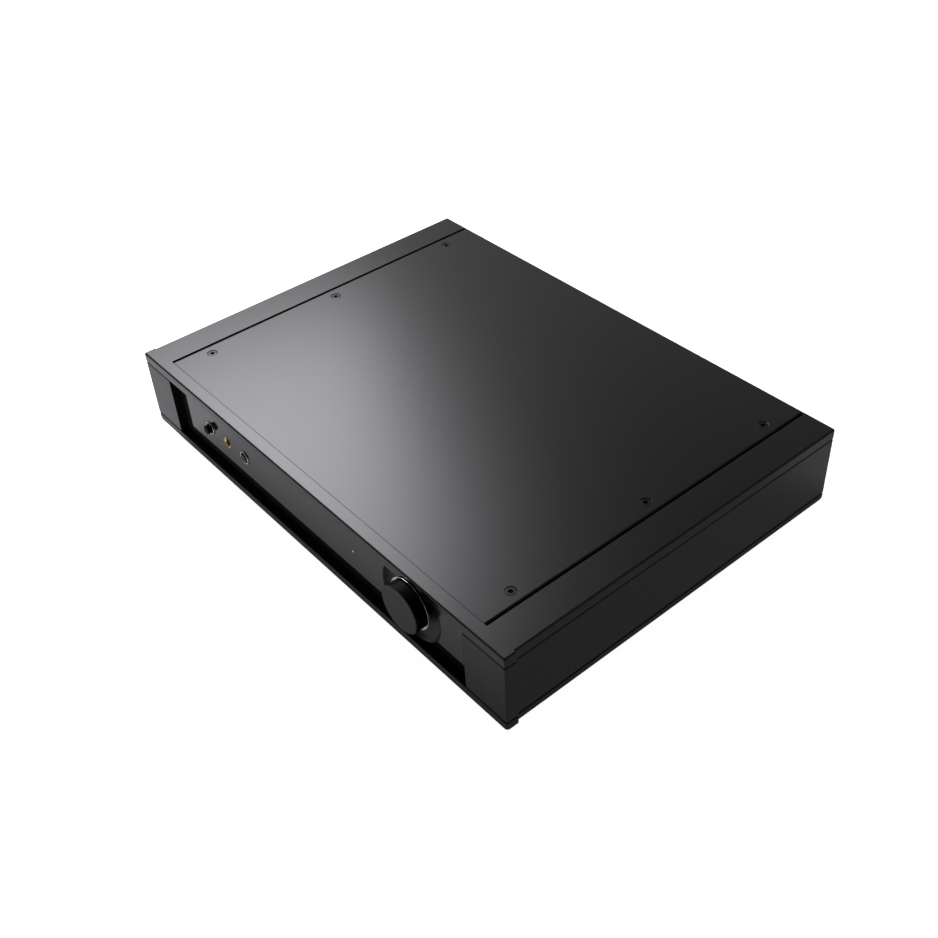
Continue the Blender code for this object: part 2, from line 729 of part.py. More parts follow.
def make_inner_front_panel(paint):
    """Makes the black panel at the back of the recess, which the controls pass through."""
    left = -BLOCK_SIDE + LEFT_POST_WIDTH + SEAT_GAP
    right = BLOCK_SIDE - RIGHT_POST_WIDTH - SEAT_GAP
    bm = prism(rectangle(left, right, BASE_TOP + SEAT_GAP, WALL_TOP - SEAT_GAP),
               INNER_FRONT, INNER_BACK, "Y")
    panel = make_object("inner_front_panel", bm, paint, (0, INNER_FRONT, BASE_TOP))
    holes = bmesh.new()
    for x, radius in (
            (KNOB_PLACE, BUSH_RADIUS + SEAT_GAP),
            (POWER_PLACE, STEM_RADIUS + STEM_GAP),
            (SELECTOR_PLACE, STEM_RADIUS + STEM_GAP),
            (HEADPHONE_PLACE, JACK_BARREL_RADIUS + SEAT_GAP),
            (STATUS_PLACE, PIPE_RADIUS + SEAT_GAP),
            (REMOTE_PLACE, PIPE_RADIUS + SEAT_GAP)):
        add_prism(holes, circle(x, CONTROL_LEVEL, radius, SMALL_SIDES),
                  INNER_FRONT - CUT_OVERRUN, INNER_BACK + CUT_OVERRUN, "Y")
    cut(panel, holes, "holes_of_inner_panel")


def make_knob_well(paint):
    """Makes the dished round well behind the knob, cut off straight under the band."""
    rim = WELL_RADIUS - SEAT_GAP
    back = RECESS_DEPTH - SEAT_GAP
    thickness = back - WELL_DEPTH
    curve = []
    for step in range(WELL_CURVE_STEPS + 1):
        turn = math.pi / 2 * step / WELL_CURVE_STEPS
        radius = WELL_FLOOR_RADIUS + (rim - WELL_LIP - WELL_FLOOR_RADIUS) * math.sin(turn)
        depth = WELL_DEPTH * math.cos(turn)
        curve.append((radius, depth))
    hole = BUSH_RADIUS + SEAT_GAP
    profile = [(hole, back), (hole, WELL_DEPTH)] + curve
    profile += [(rim, 0), (rim, WELL_DEPTH), (rim - thickness, back)]
    well = place("knob_well", turned(profile, FINE_SIDES, "Y", closed=True), paint,
                 (KNOB_PLACE, FRONT, CONTROL_LEVEL))
    trim = prism(rectangle(KNOB_PLACE - WELL_RADIUS, KNOB_PLACE + WELL_RADIUS,
                           WALL_TOP - SEAT_GAP, TOP + WELL_RADIUS),
                 FRONT - CUT_OVERRUN, INNER_FRONT, "Y")
    cut(well, trim, "trim_of_well")


def make_volume_knob(black, silver, steel):
    """Makes the volume knob, its ring and its shaft on the knob's axis."""
    axis = make_axis("volume_axis", (KNOB_PLACE, FRONT, CONTROL_LEVEL))
    shoulder = -RING_RUNNING_GAP - RING_THICKNESS - SEAT_GAP
    hollow = -KNOB_PROUD + KNOB_FACE_THICKNESS
    edge = KNOB_EDGE_RADIUS
    bore = SHAFT_RADIUS + SEAT_GAP
    slant = edge * (1 - math.cos(math.pi / 4))
    profile = [
        (0, -KNOB_PROUD), (KNOB_RADIUS - edge, -KNOB_PROUD), (KNOB_RADIUS - slant, -KNOB_PROUD + slant),
        (KNOB_RADIUS, -KNOB_PROUD + edge), (KNOB_RADIUS, shoulder), (KNOB_HUB_RADIUS, shoulder),
        (KNOB_HUB_RADIUS, KNOB_HUB_DEPTH), (KNOB_HOLLOW_RADIUS, KNOB_HUB_DEPTH),
        (KNOB_HOLLOW_RADIUS, hollow), (KNOB_BOSS_RADIUS, hollow), (KNOB_BOSS_RADIUS, -SEAT_GAP),
        (bore, -SEAT_GAP), (bore, -SHAFT_IN_KNOB - SEAT_GAP), (0, -SHAFT_IN_KNOB - SEAT_GAP),
    ]
    place("volume_knob", turned(profile, FINE_SIDES, "Y"), black, axis.location, axis)

    inner = KNOB_HUB_RADIUS + SEAT_GAP
    front = shoulder + SEAT_GAP
    back = front + RING_THICKNESS
    ring = [(inner, front), (RING_RADIUS, front), (RING_RADIUS, back), (inner, back)]
    place("knob_ring", turned(ring, FINE_SIDES, "Y", closed=True), silver, axis.location, axis)

    end = INNER_BACK - FRONT + SHAFT_IN_POT
    shaft = [(0, -SHAFT_IN_KNOB), (SHAFT_RADIUS, -SHAFT_IN_KNOB), (SHAFT_RADIUS, end), (0, end)]
    place("volume_shaft", turned(shaft, ROUND_SIDES, "Y"), steel, axis.location, axis)


def make_volume_pot(steel, grey):
    """Makes the volume control behind the panel, with its bush and its drive motor."""
    front = INNER_BACK + SEAT_GAP
    back = CONTROL_BOARD_FRONT - SEAT_GAP
    half = POT_WIDTH / 2
    bm = prism(rectangle(KNOB_PLACE - half, KNOB_PLACE + half, CONTROL_LEVEL - half,
                         min(CONTROL_LEVEL + half, COVER_BOTTOM - SEAT_GAP)), front, back, "Y")
    pot = make_object("volume_pot", bm, steel, (KNOB_PLACE, front, CONTROL_LEVEL))
    bush_front = FRONT + WELL_DEPTH - BUSH_PROUD
    bush = prism(circle(KNOB_PLACE, CONTROL_LEVEL, BUSH_RADIUS, ROUND_SIDES),
                 bush_front, front + JOIN_OVERLAP, "Y")
    join(pot, bush, "bush_of_pot")
    bore = prism(circle(KNOB_PLACE, CONTROL_LEVEL, SHAFT_RADIUS + SEAT_GAP, ROUND_SIDES),
                 bush_front - CUT_OVERRUN, INNER_BACK + SHAFT_IN_POT + SEAT_GAP, "Y")
    cut(pot, bore, "bore_of_pot")

    start = CONTROL_BOARD_BACK + SEAT_GAP
    edge = EDGE_RADIUS
    motor = [(0, 0), (MOTOR_RADIUS - edge, 0), (MOTOR_RADIUS, edge),
             (MOTOR_RADIUS, MOTOR_LENGTH - edge), (MOTOR_RADIUS - edge, MOTOR_LENGTH), (0, MOTOR_LENGTH)]
    place("volume_motor", turned(motor, ROUND_SIDES, "Y"), grey, (KNOB_PLACE, start, CONTROL_LEVEL))


def make_push_button(name, x, proud, travel, black, silver, grey):
    """Makes a push button on its sliding axis, the ring round it and the switch behind it."""
    axis = make_axis(f"{name}_axis", (x, FRONT, CONTROL_LEVEL))
    switch_front = INNER_BACK - FRONT + SEAT_GAP
    stem_end = switch_front + STEM_IN_SWITCH
    profile = [
        (0, -proud), (BUTTON_RADIUS - BUTTON_EDGE, -proud), (BUTTON_RADIUS, -proud + BUTTON_EDGE),
        (BUTTON_RADIUS, BUTTON_HEAD_DEPTH), (STEM_RADIUS, BUTTON_HEAD_DEPTH),
        (STEM_RADIUS, stem_end), (0, stem_end),
    ]
    place(f"{name}_button", turned(profile, ROUND_SIDES, "Y"), black, axis.location, axis)

    inner = BUTTON_RING_RADIUS - BUTTON_RING_WALL
    front = -BUTTON_RING_PROUD
    back = front + BUTTON_RING_LENGTH
    ring = [(inner, front), (BUTTON_RING_RADIUS, front), (BUTTON_RING_RADIUS, back), (inner, back)]
    place(f"{name}_button_ring", turned(ring, ROUND_SIDES, "Y", closed=True), silver,
          (x, FRONT, CONTROL_LEVEL))

    half = SWITCH_WIDTH / 2
    front = INNER_BACK + SEAT_GAP
    bm = prism(rectangle(x - half, x + half, CONTROL_LEVEL - half, CONTROL_LEVEL + half),
               front, CONTROL_BOARD_FRONT - SEAT_GAP, "Y")
    switch = make_object(f"{name}_switch", bm, grey, (x, front, CONTROL_LEVEL))
    bore = prism(circle(x, CONTROL_LEVEL, STEM_RADIUS + STEM_GAP, ROUND_SIDES),
                 front - CUT_OVERRUN, FRONT + stem_end + travel + STEM_GAP, "Y")
    cut(switch, bore, f"bore_of_{name}_switch")


def make_headphone_socket(black, gold):
    """Makes the headphone socket and the nut that holds it in the front."""
    half = JACK_BODY_WIDTH / 2
    x = HEADPHONE_PLACE
    front = INNER_BACK + SEAT_GAP
    back = CONTROL_BOARD_FRONT - SEAT_GAP
    body = prism(rectangle(x - half, x + half, CONTROL_LEVEL - half, CONTROL_LEVEL + half),
                 front, back, "Y")
    jack = make_object("headphone_socket", body, black, (x, front, CONTROL_LEVEL))
    barrel = prism(circle(x, CONTROL_LEVEL, JACK_BARREL_RADIUS, ROUND_SIDES),
                   FRONT, front + JOIN_OVERLAP, "Y")
    join(jack, barrel, "barrel_of_headphone_socket")
    bore = prism(circle(x, CONTROL_LEVEL, JACK_BORE_RADIUS, ROUND_SIDES),
                 FRONT - CUT_OVERRUN, FRONT + JACK_BORE_LENGTH, "Y")
    cut(jack, bore, "bore_of_headphone_socket")

    inner = JACK_BARREL_RADIUS + SEAT_GAP
    nut = [(inner, -JACK_NUT_PROUD), (JACK_NUT_RADIUS, -JACK_NUT_PROUD),
           (JACK_NUT_RADIUS, FASCIA_THICKNESS), (inner, FASCIA_THICKNESS)]
    place("headphone_nut", turned(nut, ROUND_SIDES, "Y", closed=True), gold, (x, FRONT, CONTROL_LEVEL))


def make_light_pipe(name, x, paint):
    """Makes a small round pipe that carries light through the front to or from the board."""
    length = CONTROL_BOARD_FRONT - SEAT_GAP - FRONT
    profile = [(0, 0), (PIPE_RADIUS, 0), (PIPE_RADIUS, length), (0, length)]
    place(name, turned(profile, TINY_SIDES, "Y"), paint, (x, FRONT, CONTROL_LEVEL))


def make_control_board(paint):
    """Makes the board that carries the controls behind the front."""
    low = POWER_PLACE - CONTROL_BOARD_MARGIN
    high = KNOB_PLACE + CONTROL_BOARD_MARGIN
    bottom = CONTROL_LEVEL - CONTROL_BOARD_HEIGHT / 2
    bm = prism(rectangle(low, high, bottom, bottom + CONTROL_BOARD_HEIGHT),
               CONTROL_BOARD_FRONT, CONTROL_BOARD_BACK, "Y")
    make_object("control_board", bm, paint, (0, CONTROL_BOARD_FRONT, bottom))


def make_heat_sink(name, side, paint):
    """Makes a finned heat sink: a comb seen from above, with a taller spine that carries the cover."""
    start = FRONT + SINK_FRONT_SETBACK
    end = BACK - SINK_REAR_SETBACK
    count = int((end - start - SINK_FIN_THICKNESS) / SINK_FIN_PITCH) + 1
    first = start + (end - start - (count - 1) * SINK_FIN_PITCH - SINK_FIN_THICKNESS) / 2
    outline = [(SPINE_INNER, end), (SPINE_INNER, start), (SPINE_OUTER, start)]
    for index in range(count):
        low = first + index * SINK_FIN_PITCH
        high = low + SINK_FIN_THICKNESS
        outline += [(SPINE_OUTER, low), (FIN_END, low), (FIN_END, high), (SPINE_OUTER, high)]
    outline.append((SPINE_OUTER, end))
    bottom = FLOOR_TOP + SEAT_GAP
    bm = prism([(side * x, y) for x, y in outline], bottom, WALL_TOP - FIN_CLEARANCE)
    sink = make_object(name, bm, paint, (side * SCREW_PLACE, start, bottom))
    ends = sorted((side * SPINE_INNER, side * SPINE_OUTER))
    ridge = prism(rectangle(*ends, start, end), WALL_TOP - FIN_CLEARANCE - JOIN_OVERLAP,
                  COVER_BOTTOM - SEAT_GAP)
    join(sink, ridge, f"ridge_of_{name}")
    holes = bmesh.new()
    for _, x, y in screw_places():
        if x * side > 0:
            add_prism(holes, circle(x, y, SCREW_SHANK_RADIUS + SEAT_GAP, TINY_SIDES),
                      COVER_BOTTOM - SINK_HOLE_DEPTH, COVER_BOTTOM + CUT_OVERRUN)
    cut(sink, holes, f"holes_of_{name}")


def make_main_board(paint):
    """Makes the main board on its stand-offs at the back of the base."""
    side = SPINE_INNER - BOARD_SIDE_GAP
    bm = prism(rectangle(-side, side, MAIN_BOARD_FRONT, MAIN_BOARD_BACK), MAIN_BOARD_BOTTOM, MAIN_BOARD_TOP)
    make_object("main_board", bm, paint, (0, MAIN_BOARD_FRONT, MAIN_BOARD_BOTTOM))


def make_transistors(paint):
    """Makes the output transistors, clamped flat to the sinks with their legs in the board."""
    outer = SPINE_INNER - SEAT_GAP
    inner = outer - TRANSISTOR_THICKNESS
    bottom = MAIN_BOARD_TOP + TRANSISTOR_LIFT
    half = TRANSISTOR_WIDTH / 2
    places = [(side, share) for share in TRANSISTOR_SHARES for side in (-1, 1)]
    for index, (side, share) in enumerate(places):
        y = MAIN_BOARD_FRONT + share * MAIN_BOARD_DEPTH
        ends = sorted((side * inner, side * outer))
        bm = prism(rectangle(*ends, y - half, y + half), bottom, bottom + TRANSISTOR_HEIGHT)
        round_edges(bm, lambda first, second: abs(first.x - second.x) < SEAT_GAP
                    and abs(abs(first.x) - inner) < SEAT_GAP, EDGE_RADIUS, 1)
        body = make_object(f"output_transistor_{index + 1}", bm, paint, (side * outer, y, bottom))
        legs = bmesh.new()
        middle = side * (inner + outer) / 2
        for leg in (-1, 0, 1):
            place_y = y + leg * LEG_PITCH
            add_prism(legs, rectangle(middle - LEG_WIDTH / 2, middle + LEG_WIDTH / 2,
                                      place_y - LEG_WIDTH / 2, place_y + LEG_WIDTH / 2),
                      MAIN_BOARD_TOP + SEAT_GAP, bottom + JOIN_OVERLAP)
        join(body, legs, f"legs_of_transistor_{index + 1}")


def make_capacitors(paint):
    """Makes the two large reservoir capacitors, standing on the main board."""
    radius = CAPACITOR_RADIUS
    edge = CAPACITOR_EDGE
    groove = CAPACITOR_GROOVE
    neck = CAPACITOR_HEIGHT - edge * 3
    y = MAIN_BOARD_FRONT + CAPACITOR_SHARE * MAIN_BOARD_DEPTH
    for index, side in enumerate((-1, 1)):
        profile = [(0, 0), (radius - groove, 0), (radius, groove), (radius, neck - edge),
                   (radius - groove, neck), (radius, neck + edge), (radius, CAPACITOR_HEIGHT - edge / 2),
                   (radius - edge / 2, CAPACITOR_HEIGHT), (radius - edge * 2, CAPACITOR_HEIGHT),
                   (radius - edge * 2 - groove, CAPACITOR_HEIGHT - groove), (0, CAPACITOR_HEIGHT - groove)]
        place(f"reservoir_capacitor_{index + 1}", turned(profile, ROUND_SIDES), paint,
              (side * CAPACITOR_PITCH / 2, y, MAIN_BOARD_TOP + SEAT_GAP))


def make_transformer(winding, rubber, steel):
    """Makes the ring-shaped mains transformer with its pad, its dished clamp and its bolt."""
    x = TOROID_PLACE
    y = FRONT + TOROID_SETBACK
    pad_bottom = FLOOR_TOP + SEAT_GAP
    hole = BOLT_RADIUS + STEM_GAP
    pad = [(hole, 0), (CLAMP_RADIUS, 0), (CLAMP_RADIUS, PAD_THICKNESS), (hole, PAD_THICKNESS)]
    place("transformer_pad", turned(pad, ROUND_SIDES, closed=True), rubber, (x, y, pad_bottom))

    bottom = pad_bottom + PAD_THICKNESS + SEAT_GAP
    profile = []
    rounding = TOROID_ROUNDING
    corners = (
        (TOROID_RADIUS - rounding, rounding, -math.pi / 2),
        (TOROID_RADIUS - rounding, TOROID_HEIGHT - rounding, 0),
        (TOROID_HOLE_RADIUS + rounding, TOROID_HEIGHT - rounding, math.pi / 2),
        (TOROID_HOLE_RADIUS + rounding, rounding, math.pi),
    )
    for radius, height, start in corners:
        for step in range(CORNER_STEPS + 1):
            turn = start + math.pi / 2 * step / CORNER_STEPS
            profile.append((radius + rounding * math.cos(turn), height + rounding * math.sin(turn)))
    place("transformer", turned(profile, FINE_SIDES, closed=True), winding, (x, y, bottom))

    top = bottom + TOROID_HEIGHT + SEAT_GAP
    dish = TOROID_HOLE_RADIUS
    clamp = [(hole, -CLAMP_DISH), (dish, -CLAMP_DISH), (dish + CLAMP_DISH, 0), (CLAMP_RADIUS, 0),
             (CLAMP_RADIUS, CLAMP_THICKNESS), (dish + CLAMP_DISH, CLAMP_THICKNESS),
             (dish, CLAMP_THICKNESS - CLAMP_DISH), (hole, CLAMP_THICKNESS - CLAMP_DISH)]
    place("transformer_clamp", turned(clamp, ROUND_SIDES, closed=True), steel, (x, y, top))

    seat = top + CLAMP_THICKNESS - CLAMP_DISH + SEAT_GAP
    length = seat - pad_bottom
    bolt = [(0, -length), (BOLT_RADIUS, -length), (BOLT_RADIUS, 0), (BOLT_HEAD_RADIUS, 0),
            (BOLT_HEAD_RADIUS, BOLT_HEAD_HEIGHT), (0, BOLT_HEAD_HEIGHT)]
    place("transformer_bolt", turned(bolt, SMALL_SIDES), steel, (x, y, seat))


def make_rectifier(paint):
    """Makes the bridge rectifier: a square block with one cut corner and four blade terminals."""
    half = RECTIFIER_WIDTH / 2
    x = RECTIFIER_PLACE
    y = FRONT + RECTIFIER_SETBACK
    outline = [(x - half, y - half), (x + half, y - half), (x + half, y + half),
               (x - half + RECTIFIER_CHAMFER, y + half), (x - half, y + half - RECTIFIER_CHAMFER)]
    bottom = FLOOR_TOP + SEAT_GAP
    top = bottom + RECTIFIER_HEIGHT
    body = make_object("bridge_rectifier", prism(outline, bottom, top), paint, (x, y, bottom))
    blades = bmesh.new()
    reach = half - BLADE_INSET
    for across in (-reach, reach):
        for along in (-reach, reach):
            add_prism(blades, rectangle(x + across - BLADE_THICKNESS / 2, x + across + BLADE_THICKNESS / 2,
                                        y + along - BLADE_WIDTH / 2, y + along + BLADE_WIDTH / 2),
                      top - JOIN_OVERLAP, top + BLADE_HEIGHT)
    join(body, blades, "blades_of_rectifier")


def make_rear_panel(paint):
    """Makes the rear panel with a cut-out for every socket and terminal."""
    side = WALL_INNER - SEAT_GAP
    bm = prism(rectangle(-side, side, BASE_TOP + SEAT_GAP, WALL_TOP - SEAT_GAP),
               REAR_INNER, REAR_FACE, "Y")
    panel = make_object("rear_panel", bm, paint, (0, REAR_INNER, BASE_TOP))
    rib = prism(rectangle(-COVER_HALF_WIDTH, COVER_HALF_WIDTH, WALL_TOP - SEAT_GAP - JOIN_OVERLAP,
                          COVER_BOTTOM - SEAT_GAP), REAR_INNER, REAR_FACE, "Y")
    join(panel, rib, "upper_edge_of_rear_panel")

    holes = bmesh.new()
    front = REAR_INNER - CUT_OVERRUN
    back = REAR_FACE + CUT_OVERRUN
    for middle in (FIRST_SOCKET_PLACE, SECOND_SOCKET_PLACE):
        for x in socket_columns(middle):
            for level in socket_levels():
                add_prism(holes, circle(x, level, SOCKET_BARREL_RADIUS + SEAT_GAP, TINY_SIDES),
                          front, back, "Y")
    for _, x in terminal_places():
        add_prism(holes, circle(x, TERMINAL_LEVEL, TERMINAL_BUSH_RADIUS + SEAT_GAP, SMALL_SIDES),
                  front, back, "Y")
    half_width = INLET_BODY_WIDTH / 2 + SEAT_GAP
    half_height = INLET_BODY_HEIGHT / 2 + SEAT_GAP
    add_prism(holes, rectangle(INLET_PLACE - half_width, INLET_PLACE + half_width,
                               inlet_level() - half_height, inlet_level() + half_height), front, back, "Y")
    cut(panel, holes, "holes_of_rear_panel")


def plug_outline():
    """Returns the mains inlet's mouth: a rectangle with its two lower corners cut off."""
    half = PLUG_WIDTH / 2
    low = inlet_level() - INLET_BODY_HEIGHT / 2 + PLUG_FLOOR_WALL
    high = low + PLUG_HEIGHT
    left = INLET_PLACE - half
    right = INLET_PLACE + half
    return [(left + PLUG_CHAMFER, low), (right - PLUG_CHAMFER, low), (right, low + PLUG_CHAMFER),
            (right, high), (left, high), (left, low + PLUG_CHAMFER)]


def drawer_level():
    """Returns the height of the middle of the fuse drawer."""
    return inlet_level() + INLET_BODY_HEIGHT / 2 - DRAWER_TOP_WALL - DRAWER_HEIGHT / 2


def make_mains_inlet(paint):
    """Makes the mains inlet, with its mouth, its three pins and the slot for the fuse drawer."""
    half_width = INLET_BODY_WIDTH / 2
    half_height = INLET_BODY_HEIGHT / 2
    level = inlet_level()
    back = REAR_FACE + SEAT_GAP
    face = back + INLET_FLANGE_THICKNESS
    body = prism(rectangle(INLET_PLACE - half_width, INLET_PLACE + half_width,
                           level - half_height, level + half_height),
                 back - INLET_BODY_LENGTH, back + JOIN_OVERLAP, "Y")
    inlet = make_object("mains_inlet", body, paint, (INLET_PLACE, back, level))
    wide = half_width + INLET_FLANGE
    high = half_height + INLET_FLANGE
    flange = prism(rectangle(INLET_PLACE - wide, INLET_PLACE + wide, level - high, level + high),
                   back, face, "Y")
    round_edges(flange, lambda first, second: is_along(first, second, "y"), CORNER_RADIUS, CORNER_STEPS)
    join(inlet, flange, "flange_of_inlet")
    mouth = prism(plug_outline(), face - PLUG_DEPTH, face + CUT_OVERRUN, "Y")
    cut(inlet, mouth, "mouth_of_inlet")
    wide = DRAWER_WIDTH / 2 + STEM_GAP
    high = DRAWER_HEIGHT / 2 + STEM_GAP
    slot = prism(rectangle(INLET_PLACE - wide, INLET_PLACE + wide,
                           drawer_level() - high, drawer_level() + high),
                 face - DRAWER_LENGTH - STEM_GAP, face + CUT_OVERRUN, "Y")
    cut(inlet, slot, "slot_of_inlet")

    pins = bmesh.new()
    low = level - half_height + PLUG_FLOOR_WALL + PIN_FLOOR_GAP
    for x, lift in ((-PIN_SPREAD, PIN_HEIGHT), (PIN_SPREAD, PIN_HEIGHT), (0, 0)):
        add_prism(pins, rectangle(INLET_PLACE + x - PIN_THICKNESS / 2, INLET_PLACE + x + PIN_THICKNESS / 2,
                                  low + lift, low + lift + PIN_HEIGHT),
                  face - PLUG_DEPTH - JOIN_OVERLAP, face - PLUG_DEPTH + PIN_LENGTH, "Y")
    join(inlet, pins, "pins_of_inlet")


def is_along(first, second, axis):
    """Is true for an edge that runs along the named axis."""
    return all(abs(getattr(first, other) - getattr(second, other)) < SEAT_GAP
               for other in "xyz" if other != axis)


def make_fuse_drawer(paint):
    """Makes the drawer that holds the fuse, with a finger ridge on its face."""
    face = REAR_FACE + SEAT_GAP + INLET_FLANGE_THICKNESS
    axis = make_axis("fuse_drawer_axis", (INLET_PLACE, face, drawer_level()))
    half_width = DRAWER_WIDTH / 2
    half_height = DRAWER_HEIGHT / 2
    bm = prism(rectangle(-half_width, half_width, -half_height, half_height), -DRAWER_LENGTH, 0, "Y")
    drawer = place("fuse_drawer", bm, paint, axis.location, axis)
    tray = prism(rectangle(-half_width + DRAWER_WALL, half_width - DRAWER_WALL,
                           -half_height + DRAWER_WALL, half_height + CUT_OVERRUN),
                 -DRAWER_LENGTH + DRAWER_WALL, -DRAWER_FACE, "Y")
    cut(drawer, tray, "tray_of_drawer", axis.location)
    ridge = prism(rectangle(-half_width / 2, half_width / 2, half_height - DRAWER_GRIP * 2,
                            half_height - DRAWER_GRIP), -DRAWER_FACE / 2, DRAWER_GRIP, "Y")
    join(drawer, ridge, "ridge_of_drawer", axis.location)


def make_socket_block(number, middle, paint):
    """Makes a moulded block of line sockets: two rows of barrels on a body behind the panel."""
    half = SOCKET_PITCH * (SOCKET_COLUMNS - 1) / 2 + SOCKET_BLOCK_MARGIN
    levels = socket_levels()
    bottom = MAIN_BOARD_TOP + SEAT_GAP
    inner = REAR_INNER - SEAT_GAP
    bm = prism(rectangle(middle - half, middle + half, bottom, levels[-1] + SOCKET_BLOCK_MARGIN),
               inner - SOCKET_BLOCK_DEPTH, inner, "Y")
    block = make_object(f"line_sockets_{number}", bm, paint, (middle, inner, bottom))
    barrels = bmesh.new()
    pins = bmesh.new()
    end = REAR_FACE + SOCKET_BARREL_LENGTH
    for x in socket_columns(middle):
        for level in levels:
            add_prism(barrels, circle(x, level, SOCKET_BARREL_RADIUS, TINY_SIDES),
                      inner - JOIN_OVERLAP, end, "Y")
            add_prism(pins, circle(x, level, SOCKET_PIN_RADIUS, TINY_SIDES),
                      end - SOCKET_PIN_DEPTH, end + CUT_OVERRUN, "Y")
    join(block, barrels, f"barrels_of_line_sockets_{number}")
    cut(block, pins, f"bores_of_line_sockets_{number}")


def make_terminal(number, x, insulator, cap_paint):
    """Makes a loudspeaker terminal through the panel and the fluted cap that turns on it."""
    nut_front = -REAR_PANEL_THICKNESS - SEAT_GAP
    flange = TERMINAL_FLANGE_THICKNESS
    tail = nut_front - TERMINAL_NUT_THICKNESS - TERMINAL_TAIL_LENGTH
    tip = flange + SEAT_GAP + TERMINAL_SPINDLE_LENGTH
    profile = [
        (0, tail), (TERMINAL_TAIL_RADIUS, tail), (TERMINAL_TAIL_RADIUS, nut_front - TERMINAL_NUT_THICKNESS),
        (TERMINAL_NUT_RADIUS, nut_front - TERMINAL_NUT_THICKNESS), (TERMINAL_NUT_RADIUS, nut_front),
        (TERMINAL_BUSH_RADIUS, nut_front), (TERMINAL_BUSH_RADIUS, SEAT_GAP),
        (TERMINAL_FLANGE_RADIUS, SEAT_GAP), (TERMINAL_FLANGE_RADIUS, flange - CAP_EDGE),
        (TERMINAL_FLANGE_RADIUS - CAP_EDGE, flange), (TERMINAL_SPINDLE_RADIUS, flange),
        (TERMINAL_SPINDLE_RADIUS, tip), (0, tip),
    ]
    place(f"speaker_terminal_{number}", turned(profile, SMALL_SIDES, "Y"), insulator,
          (x, REAR_FACE, TERMINAL_LEVEL))

    start = flange + SEAT_GAP
    axis = make_axis(f"speaker_cap_{number}_axis", (x, REAR_FACE + start, TERMINAL_LEVEL))
    bore = TERMINAL_SPINDLE_RADIUS + SEAT_GAP
    depth = TERMINAL_SPINDLE_LENGTH + STEM_GAP
    waist = CAP_LENGTH / 4
    profile = [
        (0, depth), (bore, depth), (bore, 0), (CAP_RADIUS - CAP_EDGE, 0), (CAP_RADIUS, CAP_EDGE),
        (CAP_RADIUS, waist - CAP_EDGE), (CAP_WAIST_RADIUS, waist), (CAP_WAIST_RADIUS, waist + CAP_EDGE),
        (CAP_RADIUS, waist + CAP_EDGE * 2), (CAP_RADIUS, CAP_LENGTH - CAP_EDGE),
        (CAP_RADIUS - CAP_EDGE, CAP_LENGTH), (0, CAP_LENGTH),
    ]
    bm = bmesh.new()
    add_turned(bm, profile, SMALL_SIDES, "Y", flute=CAP_FLUTE, fluted_rows=(8, 9))
    place(f"speaker_cap_{number}", bm, cap_paint, axis.location, axis)


def make_foot(name, x, y, paint):
    """Makes a round rubber foot with a waist and a recess for its screw."""
    radius = FOOT_RADIUS
    edge = FOOT_EDGE
    waist = radius - FOOT_WAIST
    middle = FOOT_HEIGHT / 2
    profile = [
        (0, FOOT_RECESS_DEPTH), (FOOT_RECESS_RADIUS, FOOT_RECESS_DEPTH), (FOOT_RECESS_RADIUS, 0),
        (radius - edge * 2, 0), (radius - edge, edge / 2), (waist, middle - edge), (waist, middle + edge),
        (radius, middle + edge * 2), (radius, FOOT_HEIGHT - edge / 2), (radius - edge / 2, FOOT_HEIGHT),
        (0, FOOT_HEIGHT),
    ]
    place(name, turned(profile, ROUND_SIDES), paint, (x, y, 0))


def make_feet(paint):
    """Makes the four feet under the base."""
    side = BLOCK_SIDE - FOOT_SIDE_INSET
    front = FRONT + FOOT_FRONT_SETBACK
    back = BACK - FOOT_REAR_SETBACK
    make_foot("foot_front_left", -side, front, paint)
    make_foot("foot_front_right", side, front, paint)
    make_foot("foot_rear_left", -side, back, paint)
    make_foot("foot_rear_right", side, back, paint)


